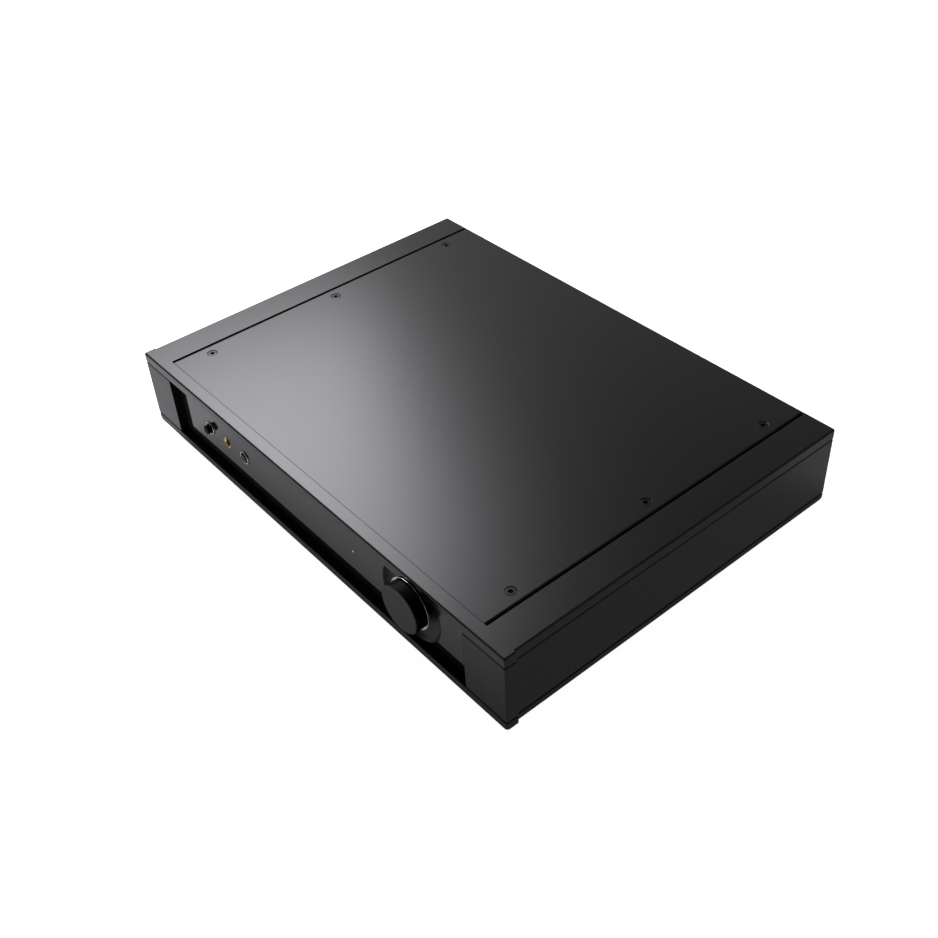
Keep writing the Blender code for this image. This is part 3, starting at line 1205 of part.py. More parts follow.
def main():
    """Clears the scene and makes the amplifier."""
    for item in list(bpy.data.objects):
        bpy.data.objects.remove(item, do_unlink=True)

    case_black = make_material("case_black", (0.022, 0.022, 0.024), 0.45, 0.3)
    chassis_black = make_material("chassis_black", (0.018, 0.018, 0.019), 0.50, 0.2)
    panel_black = make_material("panel_black", (0.012, 0.012, 0.013), 0.30, 0.0)
    knob_black = make_material("knob_black", (0.018, 0.018, 0.019), 0.55, 0.2)
    silver = make_material("silver", (0.78, 0.78, 0.80), 0.20, 1.0)
    gold = make_material("gold", (0.83, 0.62, 0.28), 0.25, 1.0)
    steel = make_material("steel", (0.55, 0.55, 0.56), 0.35, 1.0)
    screw_black = make_material("screw_black", (0.03, 0.03, 0.032), 0.40, 0.8)
    plastic = make_material("plastic", (0.03, 0.03, 0.03), 0.50, 0.0)
    board_green = make_material("board_green", (0.02, 0.14, 0.06), 0.45, 0.0)
    sink_aluminium = make_material("sink_aluminium", (0.55, 0.56, 0.58), 0.40, 1.0)
    winding = make_material("winding", (0.55, 0.42, 0.10), 0.35, 0.0)
    sleeve = make_material("sleeve", (0.04, 0.05, 0.12), 0.35, 0.0)
    rubber = make_material("rubber", (0.015, 0.015, 0.015), 0.80, 0.0)
    lens = make_material("lens", (0.45, 0.43, 0.42), 0.20, 0.0)
    cap_red = make_material("cap_red", (0.35, 0.02, 0.02), 0.35, 0.0)

    make_base_tray(chassis_black)
    make_side_panel("left_side_panel", -1, LEFT_POST_WIDTH, case_black)
    make_side_panel("right_side_panel", 1, RIGHT_POST_WIDTH, case_black)
    make_upper_frame(case_black)
    make_top_cover(case_black)
    make_cover_screws(screw_black)
    make_inner_front_panel(panel_black)
    make_knob_well(panel_black)
    make_volume_knob(knob_black, silver, steel)
    make_volume_pot(steel, plastic)
    make_push_button("power", POWER_PLACE, POWER_PROUD, POWER_TRAVEL, knob_black, silver, plastic)
    make_push_button("selector", SELECTOR_PLACE, SELECTOR_PROUD, SELECTOR_TRAVEL,
                     knob_black, silver, plastic)
    make_headphone_socket(plastic, gold)
    make_light_pipe("status_light", STATUS_PLACE, lens)
    make_light_pipe("remote_window", REMOTE_PLACE, lens)
    make_control_board(board_green)
    make_heat_sink("left_heat_sink", -1, sink_aluminium)
    make_heat_sink("right_heat_sink", 1, sink_aluminium)
    make_main_board(board_green)
    make_transistors(plastic)
    make_capacitors(sleeve)
    make_transformer(winding, rubber, steel)
    make_rectifier(plastic)
    make_rear_panel(chassis_black)
    make_mains_inlet(plastic)
    make_fuse_drawer(plastic)
    for index, middle in enumerate((FIRST_SOCKET_PLACE, SECOND_SOCKET_PLACE)):
        make_socket_block(index + 1, middle, plastic)
    for number, x in terminal_places():
        make_terminal(number, x, plastic, cap_red if number % 2 == 0 else plastic)
    make_feet(rubber)


main()
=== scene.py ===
# %% [markdown]
# # A slim hi-fi amplifier in a black metal case
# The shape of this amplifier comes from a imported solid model, with one Blender object for
# every real piece. The lesson dresses that model: a camera and lights first, then the
# finishes, then finer versions of the pieces that an eye can reach.
# Loading gives the objects in metres. Their places are fixed, so a fine piece goes exactly
# where the plain one is.

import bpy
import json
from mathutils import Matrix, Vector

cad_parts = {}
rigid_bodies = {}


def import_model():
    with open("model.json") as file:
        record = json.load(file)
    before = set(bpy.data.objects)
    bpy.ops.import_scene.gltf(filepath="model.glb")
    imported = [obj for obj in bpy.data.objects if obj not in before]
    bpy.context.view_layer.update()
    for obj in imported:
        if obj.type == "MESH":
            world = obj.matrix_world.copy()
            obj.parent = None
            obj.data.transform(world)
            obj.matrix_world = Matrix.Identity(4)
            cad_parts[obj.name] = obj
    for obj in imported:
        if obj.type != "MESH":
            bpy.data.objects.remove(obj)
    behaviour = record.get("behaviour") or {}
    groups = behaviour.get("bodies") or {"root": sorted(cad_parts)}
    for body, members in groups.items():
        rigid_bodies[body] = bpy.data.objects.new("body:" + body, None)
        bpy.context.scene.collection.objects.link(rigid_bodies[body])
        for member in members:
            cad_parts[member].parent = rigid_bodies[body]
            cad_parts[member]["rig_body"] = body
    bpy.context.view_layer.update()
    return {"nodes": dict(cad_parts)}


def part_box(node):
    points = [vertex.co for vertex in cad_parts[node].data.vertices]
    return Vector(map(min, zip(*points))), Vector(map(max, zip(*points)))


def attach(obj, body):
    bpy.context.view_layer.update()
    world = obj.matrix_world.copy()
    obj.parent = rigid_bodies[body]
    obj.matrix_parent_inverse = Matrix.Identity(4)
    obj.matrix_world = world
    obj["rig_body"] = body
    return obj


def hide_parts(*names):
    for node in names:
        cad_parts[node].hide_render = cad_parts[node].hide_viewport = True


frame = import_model()

# %% [markdown]
# bmesh builds meshes point by point, and mathutils has the vectors that go with it. The
# material of each solid is named after a slot of the record, so its name is kept before any
# finish is changed.

# %% Tools, and what each solid already says
import json
import math

import bmesh
import bpy
from mathutils import Matrix, Vector

slot_of = {name: item.data.materials[0].name for name, item in frame["nodes"].items()}
body_of = {name: item["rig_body"] for name, item in frame["nodes"].items()}
print("material slots:", sorted(set(slot_of.values())))

# %% [markdown]
# The camera stands in front of the amplifier's right end, well above it. Its place and
# direction were worked out from the straight edges of the case in the photograph. A camera
# looks along its own -Z with +Y up, so its turning matrix has the picture's right, its up
# and the reversed line of sight as its three columns.

# %% Camera
CAMERA_PLACE = Vector((0.567355, -0.453505, 0.613963))
LINE_OF_SIGHT = Vector((-0.600879, 0.470947, -0.645874)).normalized()
PICTURE_UP = Vector((-0.471199, 0.444003, 0.762124))
LENS_MM = 46.254
SENSOR_MM = 36

picture_right = LINE_OF_SIGHT.cross(PICTURE_UP).normalized()
picture_up = picture_right.cross(LINE_OF_SIGHT)
turning = Matrix((picture_right, picture_up, -LINE_OF_SIGHT)).transposed()
lens = bpy.data.cameras.new("studio_camera")
lens.lens = LENS_MM
lens.sensor_width = SENSOR_MM
camera = bpy.data.objects.new("studio_camera", lens)
camera.matrix_world = Matrix.Translation(CAMERA_PLACE) @ turning.to_4x4()
bpy.context.scene.collection.objects.link(camera)
bpy.context.scene.camera = camera
bpy.context.scene.view_settings.view_transform = "Standard"
print("camera:", [round(value, 3) for value in camera.location])

# %% [markdown]
# A product picture like this is made on a white table. The floor is one large sheet. It
# takes light and shadow as white card does, and it glows a little as well, so that the
# picture's ground stays white. The glow answers only to rays from the camera and to rays
# that bounce off or pass through shiny pieces.

# %% Nodes that say which ray is asking
def fill(tree, node, values):
    """Links or sets a node's inputs, by name or number, and returns its outputs."""
    for key, value in values.items():
        if isinstance(value, bpy.types.NodeSocket):
            tree.links.new(value, node.inputs[key])
        else:
            node.inputs[key].default_value = value
    return node.outputs


def add_math(tree, operation, *values):
    """Returns the result of a calculation with numbers and other nodes' outputs."""
    node = tree.nodes.new("ShaderNodeMath")
    node.operation = operation
    return fill(tree, node, dict(enumerate(values)))[0]


def ray_share(tree, camera_share, gloss_share):
    """Returns a value that is one number for camera rays and another for shiny bounces."""
    path = tree.nodes.new("ShaderNodeLightPath").outputs
    shiny = add_math(tree, "MAXIMUM", path["Is Glossy Ray"], path["Is Transmission Ray"])
    scaled = add_math(tree, "MULTIPLY", shiny, gloss_share)
    return add_math(tree, "MULTIPLY_ADD", path["Is Camera Ray"], camera_share, scaled)


# %% Floor
FLOOR_SIZE = 14.0
FLOOR_CARD = 0.80
CAMERA_GLOW = 0.97
GLOSS_GLOW = 0.12


def make_floor():
    """Makes the white table under the amplifier."""
    bm = bmesh.new()
    bmesh.ops.create_grid(bm, x_segments=1, y_segments=1, size=FLOOR_SIZE / 2)
    sheet = bpy.data.meshes.new("white_table")
    bm.to_mesh(sheet)
    bm.free()
    card = bpy.data.materials.new("white_card")
    card.use_nodes = True
    tree = card.node_tree
    fill(tree, tree.nodes["Principled BSDF"], {
        "Base Color": (FLOOR_CARD, FLOOR_CARD, FLOOR_CARD, 1), "Roughness": 1,
        "Specular IOR Level": 0, "Emission Color": (1, 1, 1, 1),
        "Emission Strength": ray_share(tree, CAMERA_GLOW, GLOSS_GLOW),
    })
    sheet.materials.append(card)
    table = bpy.data.objects.new("white_table", sheet)
    bpy.context.scene.collection.objects.link(table)


make_floor()
print("floor:", FLOOR_SIZE, "m square")

# %% [markdown]
# Round the table the studio is white for the camera, and dim as a source of light. Shiny
# pieces see pale walls that darken upwards to a black ceiling, which is why the edges round
# the top of the case show as thin dark lines. The walls in front and at the right are darker
# too. Each row says where in a ray's direction a shade starts and ends, and how bright the
# walls are at both.

# %% Studio walls
WALL_LIGHT = 0.05
UPWARD_SHADE = (0.15, 0.64, 1, 0)
FRONT_SHADE = (-0.5, 0, 0.25, 1)
RIGHT_SHADE = (0, 0.4, 1, 0.30)


def add_range(tree, value, start, end, first, last):
    """Returns first up to the start, last from the end on, and an even grade between."""
    values = {"Value": value, "From Min": start, "From Max": end, "To Min": first, "To Max": last}
    return fill(tree, tree.nodes.new("ShaderNodeMapRange"), values)["Result"]


def make_world():
    """Makes the surroundings: white to the camera, graded in reflections, dim as light."""
    world = bpy.data.worlds.new("studio_walls")
    world.use_nodes = True
    bpy.context.scene.world = world
    tree = world.node_tree
    ray = tree.nodes.new("ShaderNodeTexCoord").outputs["Generated"]
    parts = fill(tree, tree.nodes.new("ShaderNodeSeparateXYZ"), {0: ray})
    upward = add_range(tree, parts["Z"], *UPWARD_SHADE)
    forward = add_range(tree, parts["Y"], *FRONT_SHADE)
    across = add_range(tree, parts["X"], *RIGHT_SHADE)
    graded = add_math(tree, "MULTIPLY", upward, add_math(tree, "MULTIPLY", forward, across))
    mirrored = add_math(tree, "MULTIPLY", ray_share(tree, 0, 1), graded)
    shown = add_math(tree, "ADD", ray_share(tree, 1 - WALL_LIGHT, -WALL_LIGHT), mirrored)
    strength = add_math(tree, "ADD", shown, WALL_LIGHT)
    fill(tree, tree.nodes["Background"], {"Color": (1, 1, 1, 1), "Strength": strength})


make_world()
print("walls:", WALL_LIGHT, "as light")

# %% [markdown]
# One soft box does most of the work. It hangs close above the left end, a little behind it,
# where the top cover mirrors it towards the camera: that is the broad pale sheen over the
# cover's front left part. It also lights the table, brightest at the left, and the shiny
# front mirrors that. A weak wide box overhead softens the shadows.

# %% Lamps
def make_lamp(name, place, target, width, height, power, colour=(1, 1, 1)):
    """Makes a soft box at a place, turned towards a target."""
    light = bpy.data.lights.new(name, "AREA")
    light.shape = "RECTANGLE"
    light.size = width
    light.size_y = height
    light.energy = power
    light.color = colour
    lamp = bpy.data.objects.new(name, light)
    lamp.location = place
    lamp.rotation_euler = (Vector(target) - Vector(place)).to_track_quat("-Z", "Y").to_euler()
    lamp.visible_camera = False
    bpy.context.scene.collection.objects.link(lamp)


make_lamp("key_box", (-0.453, 0.035, 0.522), (-0.05, -0.10, 0.08), width=0.362, height=0.392,
          power=4.4, colour=(0.965, 0.950, 1.0))
make_lamp("overhead_box", (0.3, 0.3, 2.2), (0, 0, 0), width=1.6, height=1.6, power=2)
print("lamps: 2")

# %% [markdown]
# Every finish starts from Blender's Principled shader. Noise fixed to the piece then breaks
# up what would look too even: it moves the roughness or the colour a little, and it lifts
# the surface by hundredths of a millimetre, as paint and moulding do.

# %% Finishes: the helpers
CLOUD_LOW = 0.3
CLOUD_HIGH = 0.7


def grey(value):
    """Returns a neutral colour."""
    return (value, value, value)


def set_shader(finish, **values):
    """Sets or links inputs of a finish's shader, with _ for each space in a name."""
    tree = finish.node_tree
    named = {key.replace("_", " "): value for key, value in values.items()}
    fill(tree, tree.nodes["Principled BSDF"], named)


def new_finish(name, colour, roughness, metallic=0.0, specular=0.5):
    """Makes a material and sets the plain values of its shader."""
    finish = bpy.data.materials.new(name)
    finish.use_nodes = True
    set_shader(finish, Base_Color=(*colour, 1), Roughness=roughness, Metallic=metallic,
               Specular_IOR_Level=specular)
    return finish


def add_noise(finish, size, detail=2.0, stretch=(1, 1, 1)):
    """Returns a cloudy pattern that sticks to the piece, with spots about a size across."""
    tree = finish.node_tree
    place = tree.nodes.new("ShaderNodeTexCoord").outputs["Object"]
    values = {"Vector": place, "Scale": [share / size for share in stretch]}
    steps = fill(tree, tree.nodes.new("ShaderNodeMapping"), values)["Vector"]
    values = {"Vector": steps, "Scale": 1, "Detail": detail}
    return fill(tree, tree.nodes.new("ShaderNodeTexNoise"), values)["Fac"]


def add_bump(finish, pattern, depth):
    """Lets a pattern raise the surface by a depth in metres."""
    tree = finish.node_tree
    values = {"Distance": depth, "Height": pattern}
    set_shader(finish, Normal=fill(tree, tree.nodes.new("ShaderNodeBump"), values)["Normal"])


def add_grain(finish, size, detail, depth):
    """Raises the surface by fine noise of its own."""
    add_bump(finish, add_noise(finish, size, detail), depth)


def vary_roughness(finish, pattern, smooth, rough):
    """Lets a pattern move the roughness between two values."""
    spread = add_range(finish.node_tree, pattern, CLOUD_LOW, CLOUD_HIGH, smooth, rough)
    set_shader(finish, Roughness=spread)


def vary_colour(finish, pattern, dark, light, low=CLOUD_LOW, high=CLOUD_HIGH):
    """Lets a pattern move the colour between two values."""
    tree = finish.node_tree
    ramp = tree.nodes.new("ShaderNodeValToRGB")
    for stop, place, colour in zip(ramp.color_ramp.elements, (low, high), (dark, light)):
        stop.position = place
        stop.color = (*colour, 1)
    set_shader(finish, Base_Color=fill(tree, ramp, {"Fac": pattern})["Color"])


def clouded_finish(name, colour, roughness, smooth, rough, size, detail=2.0, **others):
    """Makes a material whose roughness wanders between two values in spots of a size."""
    finish = new_finish(name, colour, roughness, **others)
    vary_roughness(finish, add_noise(finish, size, detail), smooth, rough)
    return finish


# %% [markdown]
# The case is painted with a black powder that dries to a fine grain. Its sheen is soft but
# clear, so the roughness is low to middling and the grain does the rest. The flat front is
# rubbed smoother than the top, and the band above the recess is between the two. The recess
# is duller. Each line gives a colour, a middle roughness, its two limits, and the size and
# detail of the spots.

# %% Finishes: black paints
case_paint = clouded_finish("case_paint", grey(0.008), 0.37, 0.33, 0.39, 0.0009, 3)
add_grain(case_paint, 0.00045, 3, 0.000012)
front_paint = clouded_finish("front_paint", grey(0.008), 0.13, 0.12, 0.15, 0.0009, 3)
add_grain(front_paint, 0.0005, 3, 0.000004)
band_paint = clouded_finish("band_paint", grey(0.008), 0.24, 0.22, 0.27, 0.0009, 3)
chassis_paint = clouded_finish("chassis_paint", grey(0.009), 0.42, 0.38, 0.47, 0.0012, 3)
add_grain(chassis_paint, 0.0006, 3, 0.000018)
panel_black = clouded_finish("panel_black_fine", grey(0.010), 0.50, 0.45, 0.55, 0.002, specular=0.06)
# The dish's black is a touch lighter than the case's: a slight painted lift for the light that hardly
# reaches into the well.
dish_black = clouded_finish("dish_black", grey(0.015), 0.42, 0.38, 0.46, 0.003, 1, specular=0.42)
print("materials so far:", len(bpy.data.materials))

# %% [markdown]
# The knob and the selector button are anodised metal, darker and drier than the case, and
# the power button is a dull moulding. The rings are polished chrome, the headphone socket
# has a gold-plated nut, and the screws are blackened steel.

# %% Finishes: buttons and metals
knob_black = clouded_finish("knob_anodised", grey(0.009), 0.42, 0.38, 0.46, 0.0008, specular=0.38)
add_grain(knob_black, 0.0003, 2, 0.000004)
knob_side = clouded_finish("knob_side", grey(0.005), 0.50, 0.45, 0.55, 0.0008, specular=0.03)
key_black = clouded_finish("key_moulding", grey(0.004), 0.55, 0.50, 0.60, 0.0008, specular=0.04)
chrome = clouded_finish("chrome", (0.80, 0.80, 0.82), 0.15, 0.12, 0.18, 0.0030, 1, metallic=1)
gold_plate = clouded_finish("gold_plate", (0.84, 0.64, 0.34), 0.20, 0.16, 0.26, 0.001, metallic=1)
screw_black = clouded_finish("blackened_steel", grey(0.03), 0.34, 0.28, 0.42, 0.0005,
                             metallic=0.6, specular=0.4)

plain_steel = new_finish("plain_steel", grey(0.55), 0.34, metallic=1)
vary_roughness(plain_steel, add_noise(plain_steel, 0.0006, 2, (1, 1, 6)), 0.28, 0.42)

sink_metal = new_finish("extruded_metal", (0.52, 0.53, 0.55), 0.42, metallic=1)
sink_lines = add_noise(sink_metal, 0.0008, 2, (1, 1, 0.05))
vary_roughness(sink_metal, sink_lines, 0.36, 0.50)
add_bump(sink_metal, sink_lines, 0.00001)
print("materials so far:", len(bpy.data.materials))

# %% [markdown]
# Inside and behind are moulded plastics, rubber, circuit boards and the transformer's
# yellow tape. Most of that is hidden, but every piece still gets a finish of its own.

# %% Finishes: plastics, rubber and boards
moulded = clouded_finish("moulded_plastic", grey(0.022), 0.45, 0.40, 0.52, 0.001)
add_grain(moulded, 0.0004, 2, 0.00001)
cap_red = clouded_finish("cap_red_fine", (0.36, 0.012, 0.014), 0.28, 0.24, 0.34, 0.001)
cap_black = clouded_finish("cap_black", grey(0.014), 0.28, 0.24, 0.34, 0.001)
insert_white = clouded_finish("insert_white", grey(0.72), 0.4, 0.36, 0.46, 0.001)
light_lens = clouded_finish("light_lens", grey(0.85), 0.25, 0.20, 0.30, 0.0005)
# Painted glow: the lens is no lamp, and this faint glow stands in for a reflection on it.
set_shader(light_lens, Emission_Strength=0.35)
window_lens = clouded_finish("window_lens", grey(0.40), 0.25, 0.20, 0.30, 0.0005)
shrink_sleeve = clouded_finish("shrink_sleeve", (0.02, 0.03, 0.10), 0.3, 0.24, 0.38, 0.004, 3)

foot_rubber = new_finish("foot_rubber", grey(0.014), 0.8, specular=0.3)
vary_colour(foot_rubber, add_noise(foot_rubber, 0.002, 4), grey(0.010), grey(0.020))
add_grain(foot_rubber, 0.0005, 4, 0.00004)

circuit_board = new_finish("circuit_board", (0.015, 0.11, 0.05), 0.4)
vary_colour(circuit_board, add_noise(circuit_board, 0.006, 1, (1, 0.2, 1)),
            (0.012, 0.09, 0.04), (0.02, 0.15, 0.07), 0.48, 0.52)

winding_tape = new_finish("winding_tape", (0.62, 0.42, 0.05), 0.3)
tape_steps = add_noise(winding_tape, 0.004, 1, (1, 1, 0.1))
vary_colour(winding_tape, tape_steps, (0.50, 0.33, 0.04), (0.70, 0.50, 0.08))
add_bump(winding_tape, tape_steps, 0.0002)
print("materials:", len(bpy.data.materials))

# %% [markdown]
# Each solid gets its finish by slot. Most of the outer ones are hidden later on by a finer
# piece, and the ones inside keep their plain shape.

# %% Finishes on the solids
FINISH_OF_SLOT = {
    "case_black": case_paint, "chassis_black": chassis_paint, "panel_black": panel_black,
    "knob_black": knob_black, "silver": chrome, "gold": gold_plate, "steel": plain_steel,
    "plastic": moulded, "cap_red": cap_red, "board_green": circuit_board,
    "sink_aluminium": sink_metal, "winding": winding_tape, "sleeve": shrink_sleeve,
    "rubber": foot_rubber, "lens": light_lens, "screw_black": screw_black,
}

for name, item in frame["nodes"].items():
    item.data.materials[0] = FINISH_OF_SLOT[slot_of[name]]
print("solids with a finish:", len(frame["nodes"]))

# %% [markdown]
# Nearly all of the case is made of two kinds of shape. Plates and blocks are outlines pushed
# along a line, and knobs, rings and screws are profiles turned round an axis. Corners are
# rounded in the outline or profile itself, before the shape is made, because that never
# fails and its points stay where they are wanted.

# %% Shapes: outlines
def rectangle(u_low, u_high, v_low, v_high):
    """Returns the four corners of a rectangle."""
    return [(u_low, v_low), (u_high, v_low), (u_high, v_high), (u_low, v_high)]


def box_outline(node):
    """Returns the rectangle round a solid, seen from the front."""
    low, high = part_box(node)
    return rectangle(low.x, high.x, low.z, high.z)


def circle(u, v, radius, sides):
    """Returns the points of a circle."""
    turns = [2 * math.pi * step / sides for step in range(sides)]
    return [(u + radius * math.cos(turn), v + radius * math.sin(turn)) for turn in turns]


def corner_radii(radii, count):
    """Returns a radius for each corner, from one number, a list or {corner: radius}."""
    if isinstance(radii, dict):
        return [radii.get(corner, 0) for corner in range(count)]
    return radii if isinstance(radii, list) else [radii] * count


def rounded(points, radii, steps=4):
    """Returns an outline or profile with its corners rounded. A radius of zero keeps a corner."""
    result = []
    for index, (point, radius) in enumerate(zip(points, corner_radii(radii, len(points)))):
        corner = Vector(point)
        if radius == 0:
            result.append(tuple(corner))
            continue
        back = (Vector(points[index - 1]) - corner).normalized()
        ahead = (Vector(points[(index + 1) % len(points)]) - corner).normalized()
        half = back.angle(ahead) / 2
        middle = corner + (back + ahead).normalized() * radius / math.sin(half)
        spoke = corner + back * radius / math.tan(half) - middle
        sweep = math.pi - 2 * half
        turn_sign = 1 if back.cross(ahead) < 0 else -1
        for step in range(steps + 1):
            turn = Matrix.Rotation(turn_sign * sweep * step / steps, 2)
            result.append(tuple(middle + turn @ spoke))
    return result


# %% Shapes: solids through sections
RIM_STEPS = 3


def world_point(u, v, height, axis):
    """Turns a point of an outline at a height along an axis into X, Y and Z."""
    return {"X": (height, u, v), "Y": (u, height, v), "Z": (u, v, height)}[axis]


def join_rows(bm, lower, upper):
    """Adds the faces between two rings of points. A ring of one point closes to a tip."""
    sides = max(len(lower), len(upper))
    for step in range(sides):
        after = (step + 1) % sides
        if len(lower) == 1:
            bm.faces.new((lower[0], upper[step], upper[after]))
        elif len(upper) == 1:
            bm.faces.new((lower[step], lower[after], upper[0]))
        else:
            bm.faces.new((lower[step], lower[after], upper[after], upper[step]))


def solids(*shapes, axis="Y"):
    """Makes a closed solid of each shape, which is a list of (outline, height) sections."""
    bm = bmesh.new()
    for sections in shapes:
        rows = [[bm.verts.new(world_point(u, v, height, axis)) for u, v in outline]
                for outline, height in sections]
        bm.faces.new(rows[0])
        bm.faces.new(rows[-1])
        for lower, upper in zip(rows, rows[1:]):
            join_rows(bm, lower, upper)
    return bm


def prism(outline, low, high):
    """Returns the sections of an outline pushed straight from one height to another."""
    return [(outline, low), (outline, high)]


def drawn_in(corners, amount):
    """Returns an outline's corners moved inwards by an amount, square to its sides."""
    area = sum(u * after_v - after_u * v for (u, v), (after_u, after_v)
               in zip(corners, corners[1:] + corners[:1]))
    inward = 1 if area > 0 else -1
    result = []
    for index, corner in enumerate(corners):
        before = Vector(corner) - Vector(corners[index - 1])
        after = Vector(corners[(index + 1) % len(corners)]) - Vector(corner)
        normals = [Vector((-side.y, side.x)).normalized() * inward for side in (before, after)]
        step = (normals[0] + normals[1]) * amount / (1 + normals[0].dot(normals[1]))
        result.append(tuple(Vector(corner) + step))
    return result


def plate(corners, low, high, edge=0.0, radii=0.0):
    """Returns the sections of a plate whose corners and both rims are rounded."""
    rows = []
    for step in range(RIM_STEPS + 1 if edge else 1):
        turn = math.pi / 2 * step / RIM_STEPS
        inset = edge * (1 - math.sin(turn))
        left_over = [max(radius - inset, radius / 5) for radius in corner_radii(radii, len(corners))]
        rows.append((rounded(drawn_in(corners, inset), left_over), edge * (1 - math.cos(turn))))
    return ([(outline, low + depth) for outline, depth in rows]
            + [(outline, high - depth) for outline, depth in reversed(rows)])


# %% Shapes: turned pieces
def turned(profile, sides, radii=None, steps=4, axis="Y", closed=False, drawn=None):
    """Turns a profile of (radius, height) pairs round an axis through the origin.

    A radius of zero closes an end, and a closed profile makes a ring. The function drawn says
    how far a point at a radius, a height and a turn is drawn in.
    """
    bm = bmesh.new()
    rows = []
    for radius, height in rounded(profile, radii, steps) if radii else profile:
        if radius == 0:
            rows.append([bm.verts.new(world_point(0, 0, height, axis))])
            continue
        row = []
        for step in range(sides):
            turn = 2 * math.pi * step / sides
            reach = radius - drawn(radius, height, turn) if drawn else radius
            row.append(bm.verts.new(
                world_point(reach * math.cos(turn), reach * math.sin(turn), height, axis)))
        rows.append(row)
    for lower, upper in zip(rows, rows[1:] + rows[:1] if closed else rows[1:]):
        join_rows(bm, lower, upper)
    return bm


print("shape helpers ready")

# %% [markdown]
# Holes and pockets are cut by Booleans. The cutter is a solid of its own, and a visible hole
# gets a small flare at its mouth, so that its edge comes out broken and catches the light.
# The exact solver is the slower one, and it is used because it keeps the mesh closed.

# %% Shapes: cutting and joining
def to_mesh(shape):
    """Turns a bmesh into a mesh whose faces all look outwards. A mesh stays as it is."""
    if isinstance(shape, bpy.types.Mesh):
        return shape
    bmesh.ops.recalc_face_normals(shape, faces=shape.faces)
    mesh = bpy.data.meshes.new("shape")
    shape.to_mesh(mesh)
    shape.free()
    return mesh


def combine(body, *shapes, axis="Y", operation="DIFFERENCE"):
    """Cuts shapes out of a body, or joins them on, and returns the new mesh."""
    if isinstance(body, list):
        body = solids(body, axis=axis)
    items = [bpy.data.objects.new("work", to_mesh(item)) for item in (body, solids(*shapes, axis=axis))]
    for item in items:
        bpy.context.scene.collection.objects.link(item)
    change = items[0].modifiers.new("combine", "BOOLEAN")
    change.operation = operation
    change.solver = "EXACT"
    change.object = items[1]
    settled = bpy.context.evaluated_depsgraph_get()
    result = bpy.data.meshes.new_from_object(items[0].evaluated_get(settled))
    for item in items:
        old = item.data
        bpy.data.objects.remove(item)
        bpy.data.meshes.remove(old)
    return result


# %% Pieces
SMOOTH_ANGLE = math.radians(35)


def add_piece(name, shape, finish, body, node=None, place=(0, 0, 0), turn=0.0):
    """Makes a piece, shades it, and lets it ride on a body. It may stand for a solid."""
    mesh = to_mesh(shape)
    mesh.name = name
    mesh.materials.clear()
    mesh.materials.append(finish)
    mesh.shade_smooth()
    mesh.set_sharp_from_angle(angle=SMOOTH_ANGLE)
    piece = bpy.data.objects.new(name, mesh)
    piece.matrix_world = Matrix.Translation(place) @ Matrix.Rotation(turn, 4, "X")
    bpy.context.scene.collection.objects.link(piece)
    evened = piece.modifiers.new("even_shading", "WEIGHTED_NORMAL")
    evened.keep_sharp = True
    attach(piece, body)
    if node:
        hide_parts(node)
    return piece


def dress(node, shape, finish, place=(0, 0, 0)):
    """Makes the fine piece that stands for a solid."""
    return add_piece(f"{node}_fine", shape, finish, body_of[node], node, place)


print("ready to dress", len(slot_of), "solids")

# %% [markdown]
# The upper frame is one casting: the strip along the front, a wing down each side and the
# fascia that hangs from the strip. Its plan is an outline with two open slots beside the
# cover. The sizes below repeat those of the solid, which sets them.

# %% Sizes of the case
frame_low, frame_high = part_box("upper_frame")
cover_low, cover_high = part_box("top_cover")
panel_low, panel_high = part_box("inner_front_panel")
shaft_low, shaft_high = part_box("volume_shaft")
LEFT, FRONT, FASCIA_BOTTOM = frame_low
RIGHT, BACK, TOP = frame_high
COVER_SIDE = cover_high.x
COVER_BOTTOM = cover_low.z
SEAT_GAP = 0.0003
WALL_TOP = panel_high.z + SEAT_GAP
BASE_TOP = panel_low.z - SEAT_GAP
CONTROL_LEVEL = (shaft_low.z + shaft_high.z) / 2
SIDE_STEP = 0.00115
CASE_SIDE = RIGHT - SIDE_STEP
BLOCK_BACK = FRONT + 0.0097
SLOT_OUTER = COVER_SIDE + 0.0020
STRIP_BACK = cover_low.y - SEAT_GAP
TAB_FRONT = BACK - 0.0025
FASCIA_LEFT = -0.152
FASCIA_BACK = FRONT + 0.004
WALL_INNER = CASE_SIDE - 0.0035
OVERRUN = 0.001
print("case:", round(RIGHT - LEFT, 4), round(BACK - FRONT, 4), round(TOP, 4))

# %% [markdown]
# The knob's well is a circle cut off straight under the band. The holes for the buttons and
# the socket are plain circles. They flare at the front by a few tenths of a millimetre, and
# only the two tiny holes for the lights are straight.

# %% The frame's openings
KNOB_X = 0.1252
POWER_X = -0.1200
HEADPHONE_X = -0.0960
SELECTOR_X = -0.0718
STATUS_X = 0.0623
REMOTE_X = 0.0484
WELL_RADIUS = 0.0295
FLARE = 0.0003
light_low, light_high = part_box("status_light")
LIGHT_HOLE = (light_high.x - light_low.x) / 2 + 0.00005
FRONT_HOLES = ((POWER_X, 0.0055), (SELECTOR_X, 0.0055), (HEADPHONE_X, 0.0053))
WELL_STEPS = 72


def well_outline(radius):
    """Returns a circle round the knob's axis, cut off straight at the wall's top."""
    lift = math.asin((WALL_TOP - CONTROL_LEVEL) / radius)
    turns = [math.pi - lift + (math.pi + 2 * lift) * step / WELL_STEPS for step in range(WELL_STEPS + 1)]
    return [(KNOB_X + radius * math.cos(turn), CONTROL_LEVEL + radius * math.sin(turn))
            for turn in turns]


def flared_hole(u, v, radius, mouth, end, sides=48):
    """Returns the sections of a round hole that opens a little towards its mouth."""
    flare = FLARE if end > mouth else -FLARE
    return [(circle(u, v, radius + 2 * FLARE, sides), mouth - flare),
            (circle(u, v, radius, sides), mouth + flare), (circle(u, v, radius, sides), end)]


